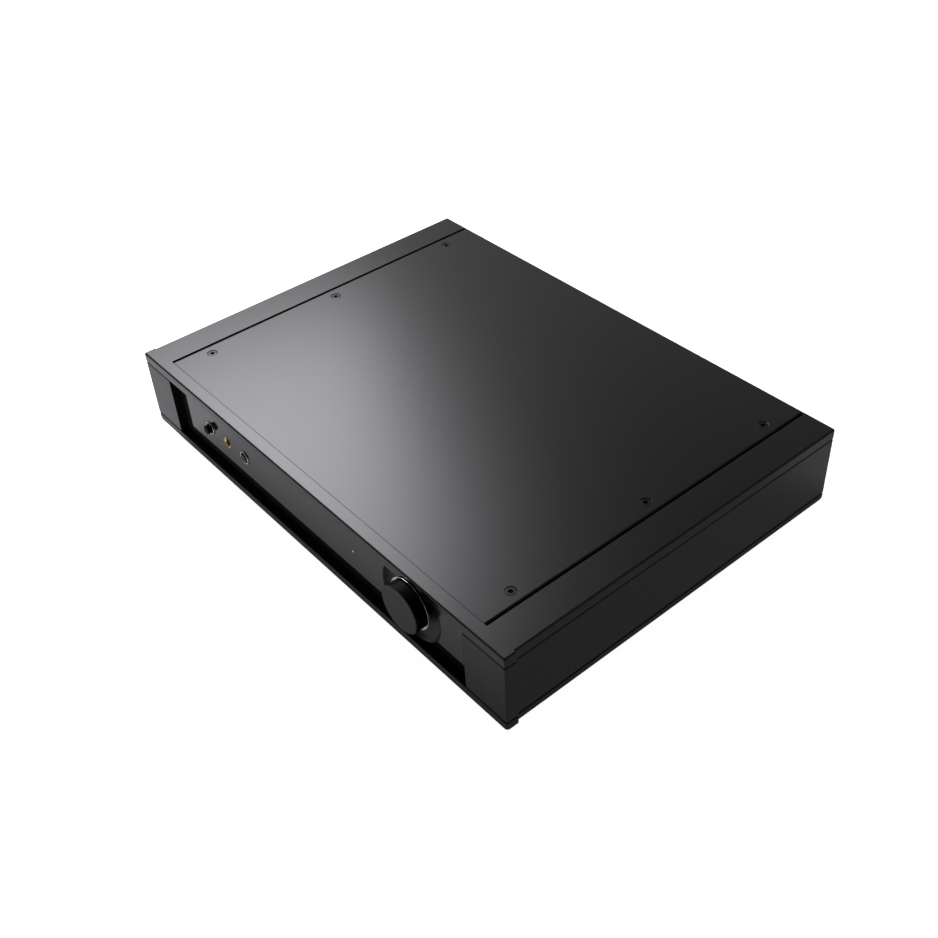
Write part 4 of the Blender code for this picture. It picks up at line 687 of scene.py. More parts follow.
# %% Upper frame
FRAME_SIDE_RIM = 0.0015
FRAME_FRONT_RIM = 0.0015
FRAME_REAR_RIM = 0.0007
FRAME_DROPS = (0.0015, 0.0012, 0.0009, 0.0006, 0.0004, 0.00025, 0.00012, 0.00004)
JOINT_GAP = 0.0001
WING_WALL = 0.002
FACING_FRONT = -0.9


def rim_inset(radius, drop):
    """Returns how far a rounded rim has moved in, at a drop below its top."""
    return radius - math.sqrt(radius ** 2 - (radius - drop) ** 2) if drop < radius else 0


def frame_outline(drop):
    """Returns the frame's outline at a drop below its top, where its outer sides have moved in."""
    right = RIGHT - rim_inset(FRAME_SIDE_RIM, drop)
    side = right - RIGHT + CASE_SIDE
    front = FRONT + rim_inset(FRAME_FRONT_RIM, drop)
    back = BACK - rim_inset(FRAME_REAR_RIM, drop)
    step_back = back - BACK + BLOCK_BACK
    tab_inner = COVER_SIDE + SEAT_GAP
    corners = [
        (right, front), (right, step_back), (side, step_back), (side, back),
        (tab_inner, back), (tab_inner, TAB_FRONT), (SLOT_OUTER, TAB_FRONT), (SLOT_OUTER, STRIP_BACK),
    ]
    corners += [(-x, y) for x, y in reversed(corners)]
    radii = [0.001, 0.0003, 0.0003, 0.001, 0, 0, 0.0004, 0.0004]
    return rounded(corners, radii + radii[::-1])


def make_upper_frame():
    """Makes the frame with its slots, its rounded rim, its fascia and its openings."""
    sections = [(frame_outline(drop), TOP - drop) for drop in (TOP - WALL_TOP, *FRAME_DROPS, 0)]
    right = panel_high.x + SEAT_GAP - JOINT_GAP
    outline = rectangle(FASCIA_LEFT, right, FASCIA_BOTTOM, WALL_TOP + OVERRUN)
    fascia = plate(outline, FRONT, FASCIA_BACK, radii={0: 0.0004, 1: 0.0001})
    body = combine(solids(sections, axis="Z"), fascia, operation="UNION")

    hollows = []
    for side in (-1, 1):
        ends = sorted((side * (SLOT_OUTER + WING_WALL), side * WALL_INNER))
        outline = rectangle(*ends, BLOCK_BACK + WING_WALL, TAB_FRONT - WING_WALL)
        hollows.append(prism(outline, WALL_TOP - OVERRUN, COVER_BOTTOM))
    body = combine(body, *hollows, axis="Z")

    through = FASCIA_BACK + OVERRUN
    well = [(well_outline(WELL_RADIUS + 2 * FLARE), FRONT - FLARE),
            (well_outline(WELL_RADIUS), FRONT + FLARE), (well_outline(WELL_RADIUS), through)]
    holes = [flared_hole(x, CONTROL_LEVEL, radius, FRONT, through) for x, radius in FRONT_HOLES]
    holes += [prism(circle(x, CONTROL_LEVEL, LIGHT_HOLE, 24), FRONT - FLARE, through)
              for x in (STATUS_X, REMOTE_X)]
    return combine(body, well, *holes)


frame_piece = dress("upper_frame", make_upper_frame(), case_paint)
for paint in (front_paint, band_paint):
    frame_piece.data.materials.append(paint)
for face in frame_piece.data.polygons:
    if face.normal.y < FACING_FRONT:
        face.material_index = 1 if face.center.z < WALL_TOP + OVERRUN else 2
print("upper frame faces:", len(frame_piece.data.polygons))

# %% [markdown]
# The cover is a flat plate between the slots. Six countersunk screws hold it, each in a
# cone-shaped hole that leaves a dark ring round the head.

# %% Top cover
SCREW_HEAD_RADIUS = 0.0037
SCREW_SHANK_RADIUS = 0.0019
SCREW_HEAD_EDGE = 0.0004
COVER_SIDE_RIM = 0.0012
COVER_FRONT_RIM = 0.0003
COVER_REAR_RIM = 0.0008
COVER_DROPS = (0.0012, 0.0010, 0.0007, 0.00045, 0.0003, 0.0002, 0.0001, 0.00004, 0.00001)
COVER_CLOSER = 0.00018
cover_screws = [f"cover_screw_{number}" for number in range(1, 7)]
screw_places = [(low + high) / 2 for low, high in map(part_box, cover_screws)]


def make_cover():
    """Makes the cover with its countersunk holes."""
    sections = []
    for drop in (TOP - COVER_BOTTOM, *COVER_DROPS, 0):
        side = COVER_SIDE - rim_inset(COVER_SIDE_RIM, drop)
        front = cover_low.y - COVER_CLOSER + rim_inset(COVER_FRONT_RIM, drop)
        corners = rectangle(-side, side, front, BACK - rim_inset(COVER_REAR_RIM, drop))
        sections.append((rounded(corners, 0.0006), TOP - drop))
    mouth = SCREW_HEAD_RADIUS + SEAT_GAP
    hole = SCREW_SHANK_RADIUS + SEAT_GAP
    ledge = TOP - SCREW_HEAD_EDGE - SEAT_GAP
    levels = ((mouth + 2 * FLARE, TOP + FLARE), (mouth, TOP - FLARE / 2), (mouth, ledge),
              (hole, ledge - mouth + hole), (hole, COVER_BOTTOM - OVERRUN))
    cutters = [[(circle(spot.x, spot.y, radius, 48), level) for radius, level in levels]
               for spot in screw_places]
    return combine(sections, *cutters, axis="Z")


dress("top_cover", make_cover(), case_paint)
print("cover holes:", len(screw_places))

# %% [markdown]
# A screw is a turned profile with a six-sided socket cut into its head. The rim of the head
# is rounded by two tenths of a millimetre, which is what glints in the picture.

# %% Cover screws
SCREW_LENGTH = 0.012
KEY_RADIUS = 0.0017
KEY_DEPTH = 0.0015
KEY_FLARE = 0.0002


def make_countersunk_screw():
    """Makes a countersunk screw with a hexagonal socket, its head's face at the origin."""
    cone_end = -SCREW_HEAD_EDGE - SCREW_HEAD_RADIUS + SCREW_SHANK_RADIUS
    profile = [(0, 0), (SCREW_HEAD_RADIUS, 0), (SCREW_HEAD_RADIUS, -SCREW_HEAD_EDGE),
               (SCREW_SHANK_RADIUS, cone_end), (SCREW_SHANK_RADIUS, -SCREW_LENGTH),
               (0, -SCREW_LENGTH)]
    key = [(circle(0, 0, KEY_RADIUS, 6), -KEY_DEPTH), (circle(0, 0, KEY_RADIUS, 6), -KEY_FLARE),
           (circle(0, 0, KEY_RADIUS + 2 * KEY_FLARE, 6), KEY_FLARE)]
    return combine(turned(profile, 48, {1: 0.0002, 2: 0.0001, 4: 0.0004}, axis="Z"), key, axis="Z")


screw_mesh = make_countersunk_screw()
for node, spot in zip(cover_screws, screw_places):
    dress(node, screw_mesh.copy(), screw_black, (spot.x, spot.y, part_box(node)[1].z))
print("screws:", len(cover_screws))

# %% [markdown]
# Each side is a wall and the post at its front, bent and milled from one piece. The thin
# lines above and below it in the picture are its parting lines, so there the piece stops
# over half a millimetre short, with rounded rims, and leaves a groove.

# %% Side panels
WALL_EDGE = 0.0009
GROOVE = 0.0007
BASE_GROOVE = 0.0006


def make_side_panel(node):
    """Makes a side wall with its corner post."""
    low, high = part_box(node)
    side = -1 if low.x < 0 else 1
    post_inner, outer = sorted((abs(low.x), abs(high.x)))
    corners = [
        (post_inner, FRONT), (outer, FRONT), (outer, BLOCK_BACK), (CASE_SIDE, BLOCK_BACK),
        (CASE_SIDE, BACK), (WALL_INNER, BACK), (WALL_INNER, BLOCK_BACK), (post_inner, BLOCK_BACK),
    ]
    radii = {0: 0.0001, 1: 0.001, 2: 0.0003, 3: 0.0003, 4: 0.001}
    outline = [(side * x, y) for x, y in corners]
    return solids(plate(outline, low.z + BASE_GROOVE, high.z - GROOVE, WALL_EDGE, radii), axis="Z")


for node in ("left_side_panel", "right_side_panel"):
    dress(node, make_side_panel(node), case_paint)
print("side panels: 2")

# %% [markdown]
# The base is a shallow tray. Its front edge drops into a lip, its lower back edge is well
# rounded, and rows of slots under the heat sinks let cool air in. Six small screws hold it
# to the sides from below.

# %% Base tray
base_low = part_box("base_tray")[0]
sink_low, sink_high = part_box("right_heat_sink")
BASE_EDGE = 0.0002
BASE_BOTTOM = base_low.z + 0.0015
FLOOR_TOP = BASE_BOTTOM + 0.002
REAR_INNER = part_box("rear_panel")[0].y
HEEL_RADIUS = 0.004
VENT_INNER = sink_low.x + 0.012
VENT_OUTER = sink_high.x - 0.002
VENT_WIDTH = 0.003
VENT_COUNT = 7
BASE_SCREW_HOLE = 0.0030 + SEAT_GAP
BASE_SCREWS = [(x, y, base_low.z if y < BLOCK_BACK else BASE_BOTTOM) for x, y in (
    (-0.1985, -0.1545), (0.1985, -0.1545), (-0.1760, -0.0183), (0.1760, -0.0183),
    (-0.1760, 0.1400), (0.1760, 0.1400))]


def make_base():
    """Makes the tray with its lip, its hollow, its vents and its screw holes."""
    corners = [(RIGHT, FRONT), (RIGHT, BLOCK_BACK), (CASE_SIDE, BLOCK_BACK), (CASE_SIDE, BACK)]
    radii = [0.001, 0.0003, 0.0003, 0.001]
    corners += [(-x, y) for x, y in reversed(corners)]
    body = solids(plate(corners, BASE_BOTTOM, BASE_TOP, BASE_EDGE, radii + radii[::-1]), axis="Z")
    heel = rounded(rectangle(FRONT, BACK, BASE_BOTTOM, BASE_TOP), {1: HEEL_RADIUS}, 8)
    body = combine(body, prism(heel, LEFT - OVERRUN, RIGHT + OVERRUN), axis="X", operation="INTERSECT")

    outline = rectangle(LEFT, RIGHT, FRONT, BLOCK_BACK)
    lip = plate(outline, base_low.z, BASE_BOTTOM + OVERRUN, 0.0003, [0.0025, 0.0025, 0.0006, 0.0006])
    body = combine(body, lip, axis="Z", operation="UNION")

    outline = rectangle(-WALL_INNER, WALL_INNER, BLOCK_BACK, REAR_INNER - SEAT_GAP)
    body = combine(body, prism(outline, FLOOR_TOP, BASE_TOP + OVERRUN), axis="Z")

    holes = []
    pitch = (sink_high.y - sink_low.y) / VENT_COUNT
    for side in (-1, 1):
        ends = sorted((side * VENT_INNER, side * VENT_OUTER))
        for index in range(VENT_COUNT):
            y = sink_low.y + (index + 1 / 2) * pitch
            vent = rounded(rectangle(*ends, y - VENT_WIDTH / 2, y + VENT_WIDTH / 2), 0.0012)
            holes.append(prism(vent, BASE_BOTTOM - OVERRUN, FLOOR_TOP + OVERRUN))
    holes += [flared_hole(x, y, BASE_SCREW_HOLE, bottom, bottom + 0.0012, 32)
              for x, y, bottom in BASE_SCREWS]
    return combine(body, *holes, axis="Z")


dress("base_tray", make_base(), chassis_paint)
print("vents:", VENT_COUNT * 2, "base screws:", len(BASE_SCREWS))

# %% [markdown]
# In the recess behind the fascia stands a smooth black panel. The knob's well is set into
# it: a dish turned from solid, whose wall curves up from a flat floor to the fascia.

# %% Inner panel and knob well
WELL_FLOOR_RADIUS = 0.0200
WELL_DEPTH = 0.0044
WELL_RIM_DROP = 0.0002
WELL_LAND = 0.0001
CURVE_STEPS = 12
BUSH_RADIUS = 0.0046
PANEL_HOLES = ((KNOB_X, 0.0049), (POWER_X, 0.0026), (SELECTOR_X, 0.0026), (HEADPHONE_X, 0.0047),
               (STATUS_X, 0.0012), (REMOTE_X, 0.0012))
well_low, well_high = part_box("knob_well")


def make_inner_panel():
    """Makes the panel that the controls pass through."""
    body = plate(box_outline("inner_front_panel"), panel_low.y, panel_high.y)
    ends = (panel_low.y - OVERRUN, panel_high.y + OVERRUN)
    holes = [prism(circle(x, CONTROL_LEVEL, radius, 32), *ends) for x, radius in PANEL_HOLES]
    return combine(body, *holes)


def make_well():
    """Makes the dished well, cut off straight under the band."""
    rim = (well_high.x - well_low.x) / 2
    back = well_high.y - FRONT
    curve = []
    for step in range(CURVE_STEPS + 1):
        share = step / CURVE_STEPS
        reach = WELL_FLOOR_RADIUS + (rim - WELL_LAND - WELL_FLOOR_RADIUS) * share
        curve.append((reach, WELL_RIM_DROP + (WELL_DEPTH - WELL_RIM_DROP) * (1 - share ** 4)))
    hole = BUSH_RADIUS + SEAT_GAP
    wall = back - WELL_DEPTH
    profile = [(hole, back), (hole, WELL_DEPTH), *curve,
               (rim, WELL_RIM_DROP), (rim, WELL_DEPTH), (rim - wall, back)]
    body = turned(profile, 128, closed=True)
    bmesh.ops.translate(body, verts=body.verts, vec=(KNOB_X, FRONT, CONTROL_LEVEL))
    outline = rectangle(well_low.x - OVERRUN, well_high.x + OVERRUN, well_high.z, TOP * 2)
    return combine(body, prism(outline, FRONT - OVERRUN, well_high.y + OVERRUN))


dress("inner_front_panel", make_inner_panel(), panel_black)
dress("knob_well", make_well(), dish_black)
print("well depth:", WELL_DEPTH)

# %% [markdown]
# The volume knob is turned from bar: a flat face with a small rounded edge and a hub behind
# that carries a bright ring. The ring is wider than the knob, so it shows as a thin bright
# line all round.

# %% Volume knob and its ring
def turned_sizes(node):
    """Returns a turned solid's radius and the places of its ends, counted from the front."""
    low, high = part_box(node)
    return (high.x - low.x) / 2, low.y - FRONT, high.y - FRONT


KNOB_AXIS = (KNOB_X, FRONT, CONTROL_LEVEL)
KNOB_RADIUS, KNOB_FACE, HUB_END = turned_sizes("volume_knob")
RING_OUTER, RING_FRONT, RING_BACK = turned_sizes("knob_ring")
MOSTLY_FRONT = -0.5


def make_knob():
    """Makes the knob with its rounded edge, its hub and the hollow behind."""
    hub, hollow, stem, bore = 0.0130, 0.0110, 0.0055, 0.0033
    shoulder = RING_FRONT - SEAT_GAP
    inside = KNOB_FACE + 0.0045
    bore_end = -0.0068
    profile = [(0, KNOB_FACE), (KNOB_RADIUS, KNOB_FACE), (KNOB_RADIUS, shoulder), (hub, shoulder),
               (hub, HUB_END), (hollow, HUB_END), (hollow, inside), (stem, inside),
               (stem, -SEAT_GAP), (bore, -SEAT_GAP), (bore, bore_end), (0, bore_end)]
    return turned(profile, 144, {1: 0.0009, 2: 0.0003}, 6)


def make_knob_ring():
    """Makes the bright ring behind the knob, tapering a little towards its back."""
    inner, lip, tail = 0.0133, RING_OUTER - 0.0007, RING_OUTER - 0.0004
    step = RING_FRONT + 0.0006
    profile = [(inner, step), (lip, step), (lip, RING_FRONT), (RING_OUTER, RING_FRONT),
               (tail, RING_BACK), (inner, RING_BACK)]
    return turned(profile, 144, {2: 0.0001, 3: 0.00015, 4: 0.0003}, closed=True)


knob = dress("volume_knob", make_knob(), knob_side, KNOB_AXIS)
knob.data.materials.append(knob_black)
for face in knob.data.polygons:
    if face.normal.y < MOSTLY_FRONT and face.center.y < KNOB_FACE + OVERRUN:
        face.material_index = 1
dress("knob_ring", make_knob_ring(), chrome, KNOB_AXIS)
print("knob:", round(KNOB_RADIUS * 2000, 1), "mm across")

# %% [markdown]
# The two push buttons are small turned pieces in bright rings. Their faces are slightly
# hollow, for a fingertip. The headphone socket between them is a plastic barrel in a gold
# nut, with a gold sleeve whose funnel-shaped mouth leads the plug in.

# %% Push buttons
BUTTON_HEAD_DEPTH = 0.0034
BUTTON_RING_WALL = 0.0007


def make_button(node):
    """Makes a push button with its stem."""
    radius, face, end = turned_sizes(node)
    stem = 0.0022
    profile = [(0, face + 0.00015), (radius - 0.0010, face), (radius, face),
               (radius, BUTTON_HEAD_DEPTH), (stem, BUTTON_HEAD_DEPTH), (stem, end), (0, end)]
    return turned(profile, 64, {2: 0.0004, 5: 0.0002})


def make_collar(node, inner, inner_rounding, outer_rounding):
    """Makes a ring of a solid's sizes, with an inner radius and rounded front edges."""
    outer, front, back = turned_sizes(node)
    return turned(rectangle(inner, outer, front, back), 64, {0: inner_rounding, 1: outer_rounding},
                  closed=True)


for name, x, finish in (("power", POWER_X, key_black), ("selector", SELECTOR_X, knob_black)):
    button = f"{name}_button"
    ring = f"{name}_button_ring"
    collar = make_collar(ring, turned_sizes(ring)[0] - BUTTON_RING_WALL, 0.0003, 0.00035)
    dress(button, make_button(button), finish, (x, FRONT, CONTROL_LEVEL))
    dress(ring, collar, chrome, (x, FRONT, CONTROL_LEVEL))
print("buttons: 2")

# %% Headphone socket
BARREL_RADIUS = 0.0044
BORE_RADIUS = 0.00325
BORE_LENGTH = 0.0240
SLEEVE_LENGTH = 0.0020
HEADPHONE_AXIS = (HEADPHONE_X, FRONT, CONTROL_LEVEL)


def make_headphone_socket():
    """Makes the socket's block, with its barrel and its bore."""
    front = panel_high.y + SEAT_GAP
    block = plate(box_outline("headphone_socket"), front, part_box("headphone_socket")[1].y, 0.0003)
    outer = circle(HEADPHONE_X, CONTROL_LEVEL, BARREL_RADIUS, 64)
    inner = circle(HEADPHONE_X, CONTROL_LEVEL, BORE_RADIUS, 64)
    body = combine(block, prism(outer, FRONT + SLEEVE_LENGTH, front + OVERRUN), operation="UNION")
    return combine(body, prism(inner, FRONT, FRONT + BORE_LENGTH))


def make_headphone_sleeve():
    """Makes the gold sleeve that leads the plug in, with its funnel-shaped mouth."""
    outer = BARREL_RADIUS
    end = SLEEVE_LENGTH - JOINT_GAP
    profile = [(outer - 0.0002, 0), (outer, 0.0002), (outer, end),
               (BORE_RADIUS, end), (BORE_RADIUS, 0.0009), (outer - 0.0003, 0)]
    return turned(profile, 64, {4: 0.0003, 5: 0.0001}, closed=True)


nut = make_collar("headphone_nut", BARREL_RADIUS + SEAT_GAP, 0.00008, 0.00015)
dress("headphone_socket", make_headphone_socket(), moulded)
dress("headphone_nut", nut, gold_plate, HEADPHONE_AXIS)
add_piece("headphone_sleeve", make_headphone_sleeve(), gold_plate, body_of["headphone_socket"],
          place=HEADPHONE_AXIS)
print("headphone bore:", BORE_RADIUS * 2)

# %% [markdown]
# The two small lights are the rounded ends of clear pipes that lead back to the board. The
# one nearer to the knob has a faint painted glow that stands in for a reflection on its lens,
# and the other is a darker window.

# %% Lights
for node, x, finish in (("status_light", STATUS_X, light_lens), ("remote_window", REMOTE_X, window_lens)):
    radius, _, end = turned_sizes(node)
    pipe = turned(rectangle(0, radius, 0, end), 32, {1: radius / 2})
    dress(node, pipe, finish, (x, FRONT, CONTROL_LEVEL))
print("lights: 2")

# %% [markdown]
# The back carries the mains inlet, two blocks of line sockets and four loudspeaker
# terminals. The panel itself is a painted plate with a flared hole for each of them.

# %% Rear panel
rear_low, rear_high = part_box("rear_panel")
REAR_FACE = rear_high.y
inlet_low, inlet_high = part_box("mains_inlet")
INLET_X = (inlet_low.x + inlet_high.x) / 2
INLET_LEVEL = (inlet_low.z + inlet_high.z) / 2
INLET_HALF_WIDTH = 0.01375
INLET_HALF_HEIGHT = 0.0150
SOCKET_PITCH = 0.0170
SOCKET_ROW_PITCH = 0.0180
SOCKET_MARGIN = 0.0070
SOCKET_RADIUS = 0.0042
TERMINAL_RADIUS = 0.0051
socket_places = []
for number in (1, 2):
    low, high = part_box(f"line_sockets_{number}")
    middle = (low.x + high.x) / 2
    lower = low.z + SOCKET_MARGIN
    socket_places += [(number, middle + column * SOCKET_PITCH, lower + row * SOCKET_ROW_PITCH)
                      for column in (-1, 0, 1) for row in (0, 1)]
terminals = [f"speaker_terminal_{number}" for number in range(1, 5)]
terminal_places = [(low + high) / 2 for low, high in map(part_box, terminals)]


def inlet_outline(gap):
    """Returns the outline of the inlet's inner part, widened by a gap."""
    return rectangle(INLET_X - INLET_HALF_WIDTH - gap, INLET_X + INLET_HALF_WIDTH + gap,
                     INLET_LEVEL - INLET_HALF_HEIGHT - gap, INLET_LEVEL + INLET_HALF_HEIGHT + gap)


def make_rear_panel():
    """Makes the rear panel with its upper edge and all of its holes."""
    outline = [(rear_low.x, rear_low.z), (rear_high.x, rear_low.z), (rear_high.x, panel_high.z),
               (COVER_SIDE, panel_high.z), (COVER_SIDE, rear_high.z), (-COVER_SIDE, rear_high.z),
               (-COVER_SIDE, panel_high.z), (rear_low.x, panel_high.z)]
    inside = rear_low.y - OVERRUN
    places = [(x, level, SOCKET_RADIUS + SEAT_GAP) for _, x, level in socket_places]
    places += [(spot.x, spot.z, TERMINAL_RADIUS) for spot in terminal_places]
    holes = [flared_hole(*place, REAR_FACE, inside) for place in places]
    holes.append(prism(inlet_outline(SEAT_GAP), inside, REAR_FACE + OVERRUN))
    return combine(plate(outline, rear_low.y, REAR_FACE), *holes)


dress("rear_panel", make_rear_panel(), chassis_paint)
print("holes in the rear panel:", len(socket_places) + len(terminal_places) + 1)

# %% [markdown]
# A mains inlet is a standard moulding: a mouth with two cut corners, three flat pins, and
# here a drawer above for the fuse. The pins are separate here so that they can be metal.

# %% Mains inlet
drawer_low, drawer_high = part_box("fuse_drawer")
PLUG_HALF = 0.0120
PLUG_CHAMFER = 0.0045
PLUG_DEPTH = 0.0165
PLUG_LOW = INLET_LEVEL - 0.0135
PLUG_HIGH = PLUG_LOW + 0.0165
DRAWER_GAP = 0.0004
PIN_LENGTH = 0.0135
PIN_HEIGHT = 0.004
PIN_HALF = 0.001
PINS = ((-0.007, 0.004), (0.007, 0.004), (0, 0))


def make_inlet():
    """Makes the inlet's moulding with its mouth and the drawer's slot."""
    back = REAR_FACE + SEAT_GAP
    inner = plate(inlet_outline(0), inlet_low.y, back + OVERRUN)
    flange = plate(box_outline("mains_inlet"), back, inlet_high.y, 0.0004, 0.0015)
    body = combine(inner, flange, operation="UNION")
    left, right = INLET_X - PLUG_HALF, INLET_X + PLUG_HALF
    mouth = rounded([(left + PLUG_CHAMFER, PLUG_LOW), (right - PLUG_CHAMFER, PLUG_LOW),
                     (right, PLUG_LOW + PLUG_CHAMFER), (right, PLUG_HIGH), (left, PLUG_HIGH),
                     (left, PLUG_LOW + PLUG_CHAMFER)], 0.0008)
    slot = rectangle(drawer_low.x - DRAWER_GAP, drawer_high.x + DRAWER_GAP,
                     drawer_low.z - DRAWER_GAP, drawer_high.z + DRAWER_GAP)
    outside = inlet_high.y + OVERRUN
    return combine(body, prism(mouth, inlet_high.y - PLUG_DEPTH, outside),
                   prism(slot, drawer_low.y - DRAWER_GAP, outside))


def make_pin(x, lift):
    """Makes one pin of the inlet, rounded at its tip."""
    low = PLUG_LOW + 0.003 + lift
    outline = rectangle(INLET_X + x - PIN_HALF, INLET_X + x + PIN_HALF, low, low + PIN_HEIGHT)
    root = inlet_high.y - PLUG_DEPTH
    return solids(plate(outline, root - 0.0002, root + PIN_LENGTH, 0.0003, 0.0005))


dress("mains_inlet", make_inlet(), moulded)
for number, (x, lift) in enumerate(PINS, 1):
    add_piece(f"inlet_pin_{number}", make_pin(x, lift), plain_steel, body_of["mains_inlet"])
print("inlet pins:", len(PINS))

# %% Fuse drawer
GRIP = 0.0010
DRAWER_WALL = 0.0012


def make_drawer():
    """Makes the drawer that carries the fuse, with a finger ridge on its face."""
    face = inlet_high.y
    body = plate(box_outline("fuse_drawer"), drawer_low.y, face, 0.0002, 0.0006)
    outline = rectangle(drawer_low.x + DRAWER_WALL, drawer_high.x - DRAWER_WALL,
                        drawer_low.z + DRAWER_WALL, drawer_high.z + OVERRUN)
    tray = prism(outline, drawer_low.y + DRAWER_WALL, face - DRAWER_WALL)
    body = combine(body, tray)
    middle = (drawer_low.x + drawer_high.x) / 2
    quarter = (drawer_high.x - drawer_low.x) / 4
    outline = rectangle(middle - quarter, middle + quarter, drawer_high.z - 2 * GRIP, drawer_high.z - GRIP)
    ridge = plate(outline, face - GRIP / 2, drawer_high.y, 0.0002, 0.0003)
    return combine(body, ridge, operation="UNION")


dress("fuse_drawer", make_drawer(), moulded)
print("fuse drawer:", round(drawer_high.x - drawer_low.x, 4))

# %% [markdown]
# A line socket is a thin gold-plated tube round a coloured plug of plastic, with a contact
# hole in the middle. Two moulded blocks behind the panel carry six sockets each: red for
# the right channel below, white for the left channel above.

# %% Line sockets
SOCKET_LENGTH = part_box("line_sockets_1")[1].y - REAR_FACE


def make_socket_block(node):
    """Makes the moulded block and the plastic core of each of its sockets."""
    low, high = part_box(node)
    inner = rear_low.y - SEAT_GAP
    block = plate(box_outline(node), low.y, inner, 0.0004)
    cores = [prism(circle(x, level, 0.0038, 48), inner - OVERRUN, REAR_FACE + 0.0020)
             for _, x, level in socket_places if low.x < x < high.x]
    return combine(block, *cores, operation="UNION")


def make_socket_tube():
    """Makes a socket's gold tube with the collar at its foot, from the panel's face outwards."""
    bore, neck, collar = 0.0034, 0.0040, 0.0054
    profile = [(bore, 0.0022), (neck, 0.0022), (neck, SEAT_GAP), (collar, SEAT_GAP), (collar, 0.0011),
               (SOCKET_RADIUS, 0.0013), (SOCKET_RADIUS, SOCKET_LENGTH), (bore, SOCKET_LENGTH)]
    return turned(profile, 64, {4: 0.0003, 6: 0.0003, 7: 0.0001}, closed=True)


def make_socket_core():
    """Makes the coloured plastic inside a socket, with its contact hole."""
    outer, hole, foot = 0.0033, 0.0017, 0.0023
    face = SOCKET_LENGTH - 0.0006
    hole_end = SOCKET_LENGTH - 0.0070
    profile = [(0, foot), (outer, foot), (outer, face), (hole, face), (hole, hole_end), (0, hole_end)]
    return turned(profile, 48, {2: 0.0003, 3: 0.0002})


for node in ("line_sockets_1", "line_sockets_2"):
    dress(node, make_socket_block(node), moulded)
for index, (number, x, level) in enumerate(socket_places):
    label = f"{number}_{index % 6 + 1}"
    body = body_of[f"line_sockets_{number}"]
    place = (x, REAR_FACE, level)
    colour = insert_white if index % 2 else cap_red
    add_piece(f"socket_tube_{label}", make_socket_tube(), gold_plate, body, place=place)
    add_piece(f"socket_core_{label}", make_socket_core(), colour, body, place=place)
print("line sockets:", len(socket_places))

# %% [markdown]
# A loudspeaker terminal is a gold spindle in an insulating collar, and a coloured cap that
# screws down on it. The cap's grip is fluted: every point of its rim is drawn in by a soft
# wave.

# %% Loudspeaker terminals
GRIP_RADIUS = 0.0058
GRIP_START = 0.0066
GRIP_MARGIN = 0.0001
FLUTES = 18
FLUTE_DEPTH = 0.0005


def make_terminal():
    """Makes the insulating collar, its nut behind the panel and the tail for the wire."""
    tail, nut, neck, collar, bore = 0.0024, 0.0065, 0.0048, 0.0072, 0.0031
    back = -0.0028
    profile = [(0, back - 0.013), (tail, back - 0.013), (tail, back - 0.003), (nut, back - 0.003),
               (nut, back), (neck, back), (neck, SEAT_GAP), (collar, SEAT_GAP), (collar, 0.003),
               (bore, 0.003), (bore, 0.002), (0, 0.002)]
    return turned(profile, 64, {1: 0.0003, 3: 0.0003, 8: 0.0008})


def make_terminal_cap(node):
    """Makes a cap with its fluted grip, from the collar outwards."""
    low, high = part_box(node)
    radius = (high.x - low.x) / 2
    length = high.y - low.y
    profile = [(0, 0.0154), (0.0033, 0.0154), (0.0033, 0), (radius, 0), (radius, 0.0045),
               (0.0056, 0.0045), (0.0056, 0.0061), (radius, 0.0061), (radius, length),
               (0.0042, length), (0.0038, length - 0.0008), (0, length - 0.0008)]

    def flute(reach, height, turn):
        """Returns how far a point of the grip is drawn in."""
        on_grip = reach > GRIP_RADIUS and GRIP_START < height < length - GRIP_MARGIN
        return FLUTE_DEPTH * (1 - math.cos(FLUTES * turn)) / 2 if on_grip else 0

    radii = {3: 0.0006, 4: 0.0006, 5: 0.0003, 6: 0.0003, 7: 0.0006, 8: 0.0010}
    return turned(profile, 144, radii, drawn=flute)


for number, (terminal, spot) in enumerate(zip(terminals, terminal_places), 1):
    place = (spot.x, REAR_FACE, spot.z)
    cap = f"speaker_cap_{number}"
    colour = cap_red if slot_of[cap] == "cap_red" else cap_black
    spindle = turned(rectangle(0, 0.0030, 0.0021, 0.0183), 48, {2: 0.0004})
    dress(terminal, make_terminal(), moulded, place)
    add_piece(f"terminal_spindle_{number}", spindle, gold_plate, body_of[terminal], place=place)
    dress(cap, make_terminal_cap(cap), colour, (spot.x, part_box(cap)[0].y, spot.z))
print("terminals:", len(terminals))

# %% [markdown]
# The feet are rubber, with a waist that lets them give a little and a screw up the middle.
# The screw has a rounded head with a cross in it, cut by two crossed bars.

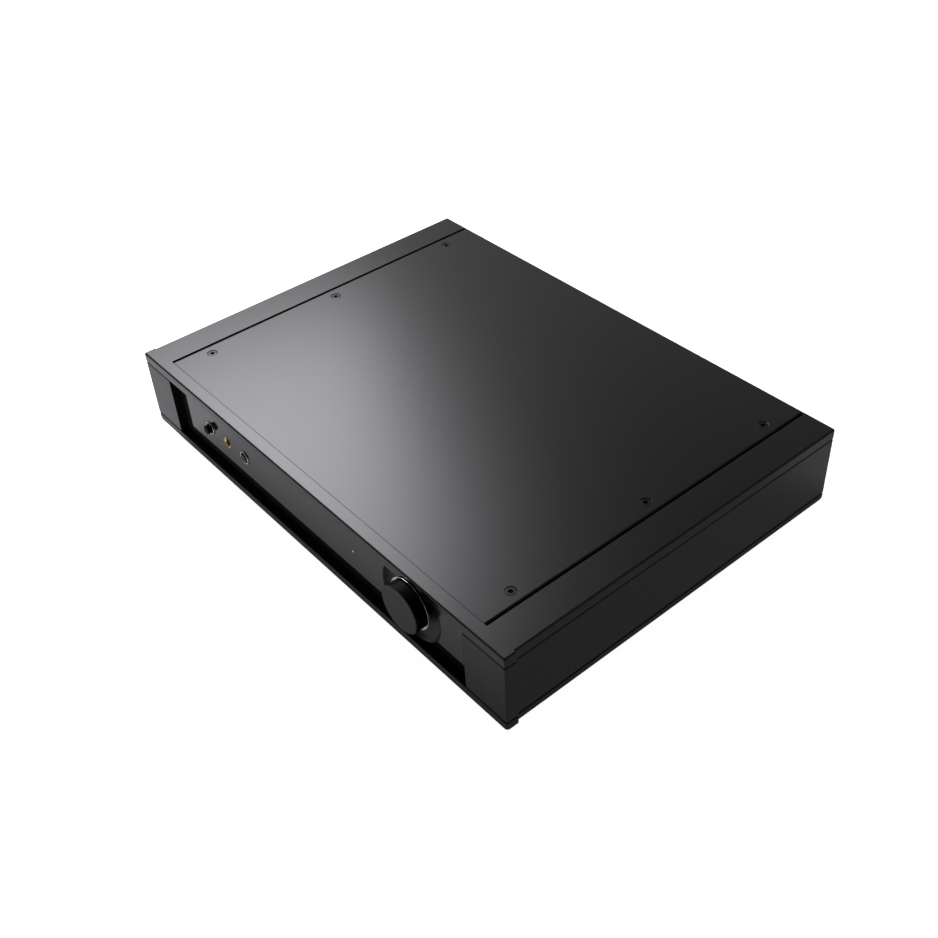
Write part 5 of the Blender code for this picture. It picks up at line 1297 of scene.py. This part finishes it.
# %% Feet
def make_foot():
    """Makes a rubber foot with its waist, its grip rings and its screw recess."""
    radius = 0.0225
    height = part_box("foot_front_left")[1].z
    profile = [(0, 0.0045), (0.0075, 0.0045), (0.0075, 0), (0.0120, 0), (0.0125, 0.0005), (0.0135, 0.0005),
               (0.0140, 0), (0.0165, 0), (0.0170, 0.0005), (0.0180, 0.0005), (0.0185, 0),
               (radius - 0.0006, 0), (radius - 0.0012, height / 2), (radius, height), (0, height)]
    return turned(profile, 96, {2: 0.0003, 11: 0.0015, 12: 0.004, 13: 0.0008}, 6, axis="Z")


def make_pan_screw(head, rounding, sides, reach, half_width, cross_low, cross_high):
    """Makes a screw from its head's outline and rounding, with a cross cut into it."""
    cross = [prism(rectangle(-u, u, -v, v), cross_low, cross_high)
             for u, v in ((reach, half_width), (half_width, reach))]
    return combine(turned(head, sides, rounding, axis="Z"), *cross, axis="Z")


foot_screw = make_pan_screw(rectangle(0, 0.0040, 0.0018, 0.0043), {1: 0.0010}, sides=48, reach=0.0022,
                            half_width=0.0005, cross_low=0.0010, cross_high=0.0032)
for node in ("foot_front_left", "foot_front_right", "foot_rear_left", "foot_rear_right"):
    low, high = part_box(node)
    place = ((low.x + high.x) / 2, (low.y + high.y) / 2, 0)
    dress(node, make_foot(), foot_rubber, place)
    add_piece(f"screw_of_{node}", foot_screw.copy(), screw_black, body_of[node], place=place)
print("feet: 4")

# %% [markdown]
# Small screws also hold the base to the sides and the rear panel to its frame. They have
# rounded heads as well, and are turned to face down or back.

# %% Small screws
REAR_SCREWS = ((-0.2030, 0.0270), (0.2030, 0.0660), (-0.2030, 0.0660), (0.0580, 0.0660), (0.0580, 0.0270))
HEAD_SINK = 0.0011

pan_screw = make_pan_screw(rectangle(0, 0.0026, -0.0009, 0.0009), {2: 0.0009}, sides=40, reach=0.0015,
                           half_width=0.00035, cross_low=0.0001, cross_high=0.0015)
screws = [(f"base_screw_{number}", (x, y, bottom + HEAD_SINK), math.pi)
          for number, (x, y, bottom) in enumerate(BASE_SCREWS, 1)]
screws += [(f"panel_screw_{number}", (x, REAR_FACE, level), -math.pi / 2)
           for number, (x, level) in enumerate(REAR_SCREWS, 1)]
for name, place, turn in screws:
    add_piece(name, pan_screw.copy(), screw_black, "case", place=place, turn=turn)
print("small screws:", len(screws))
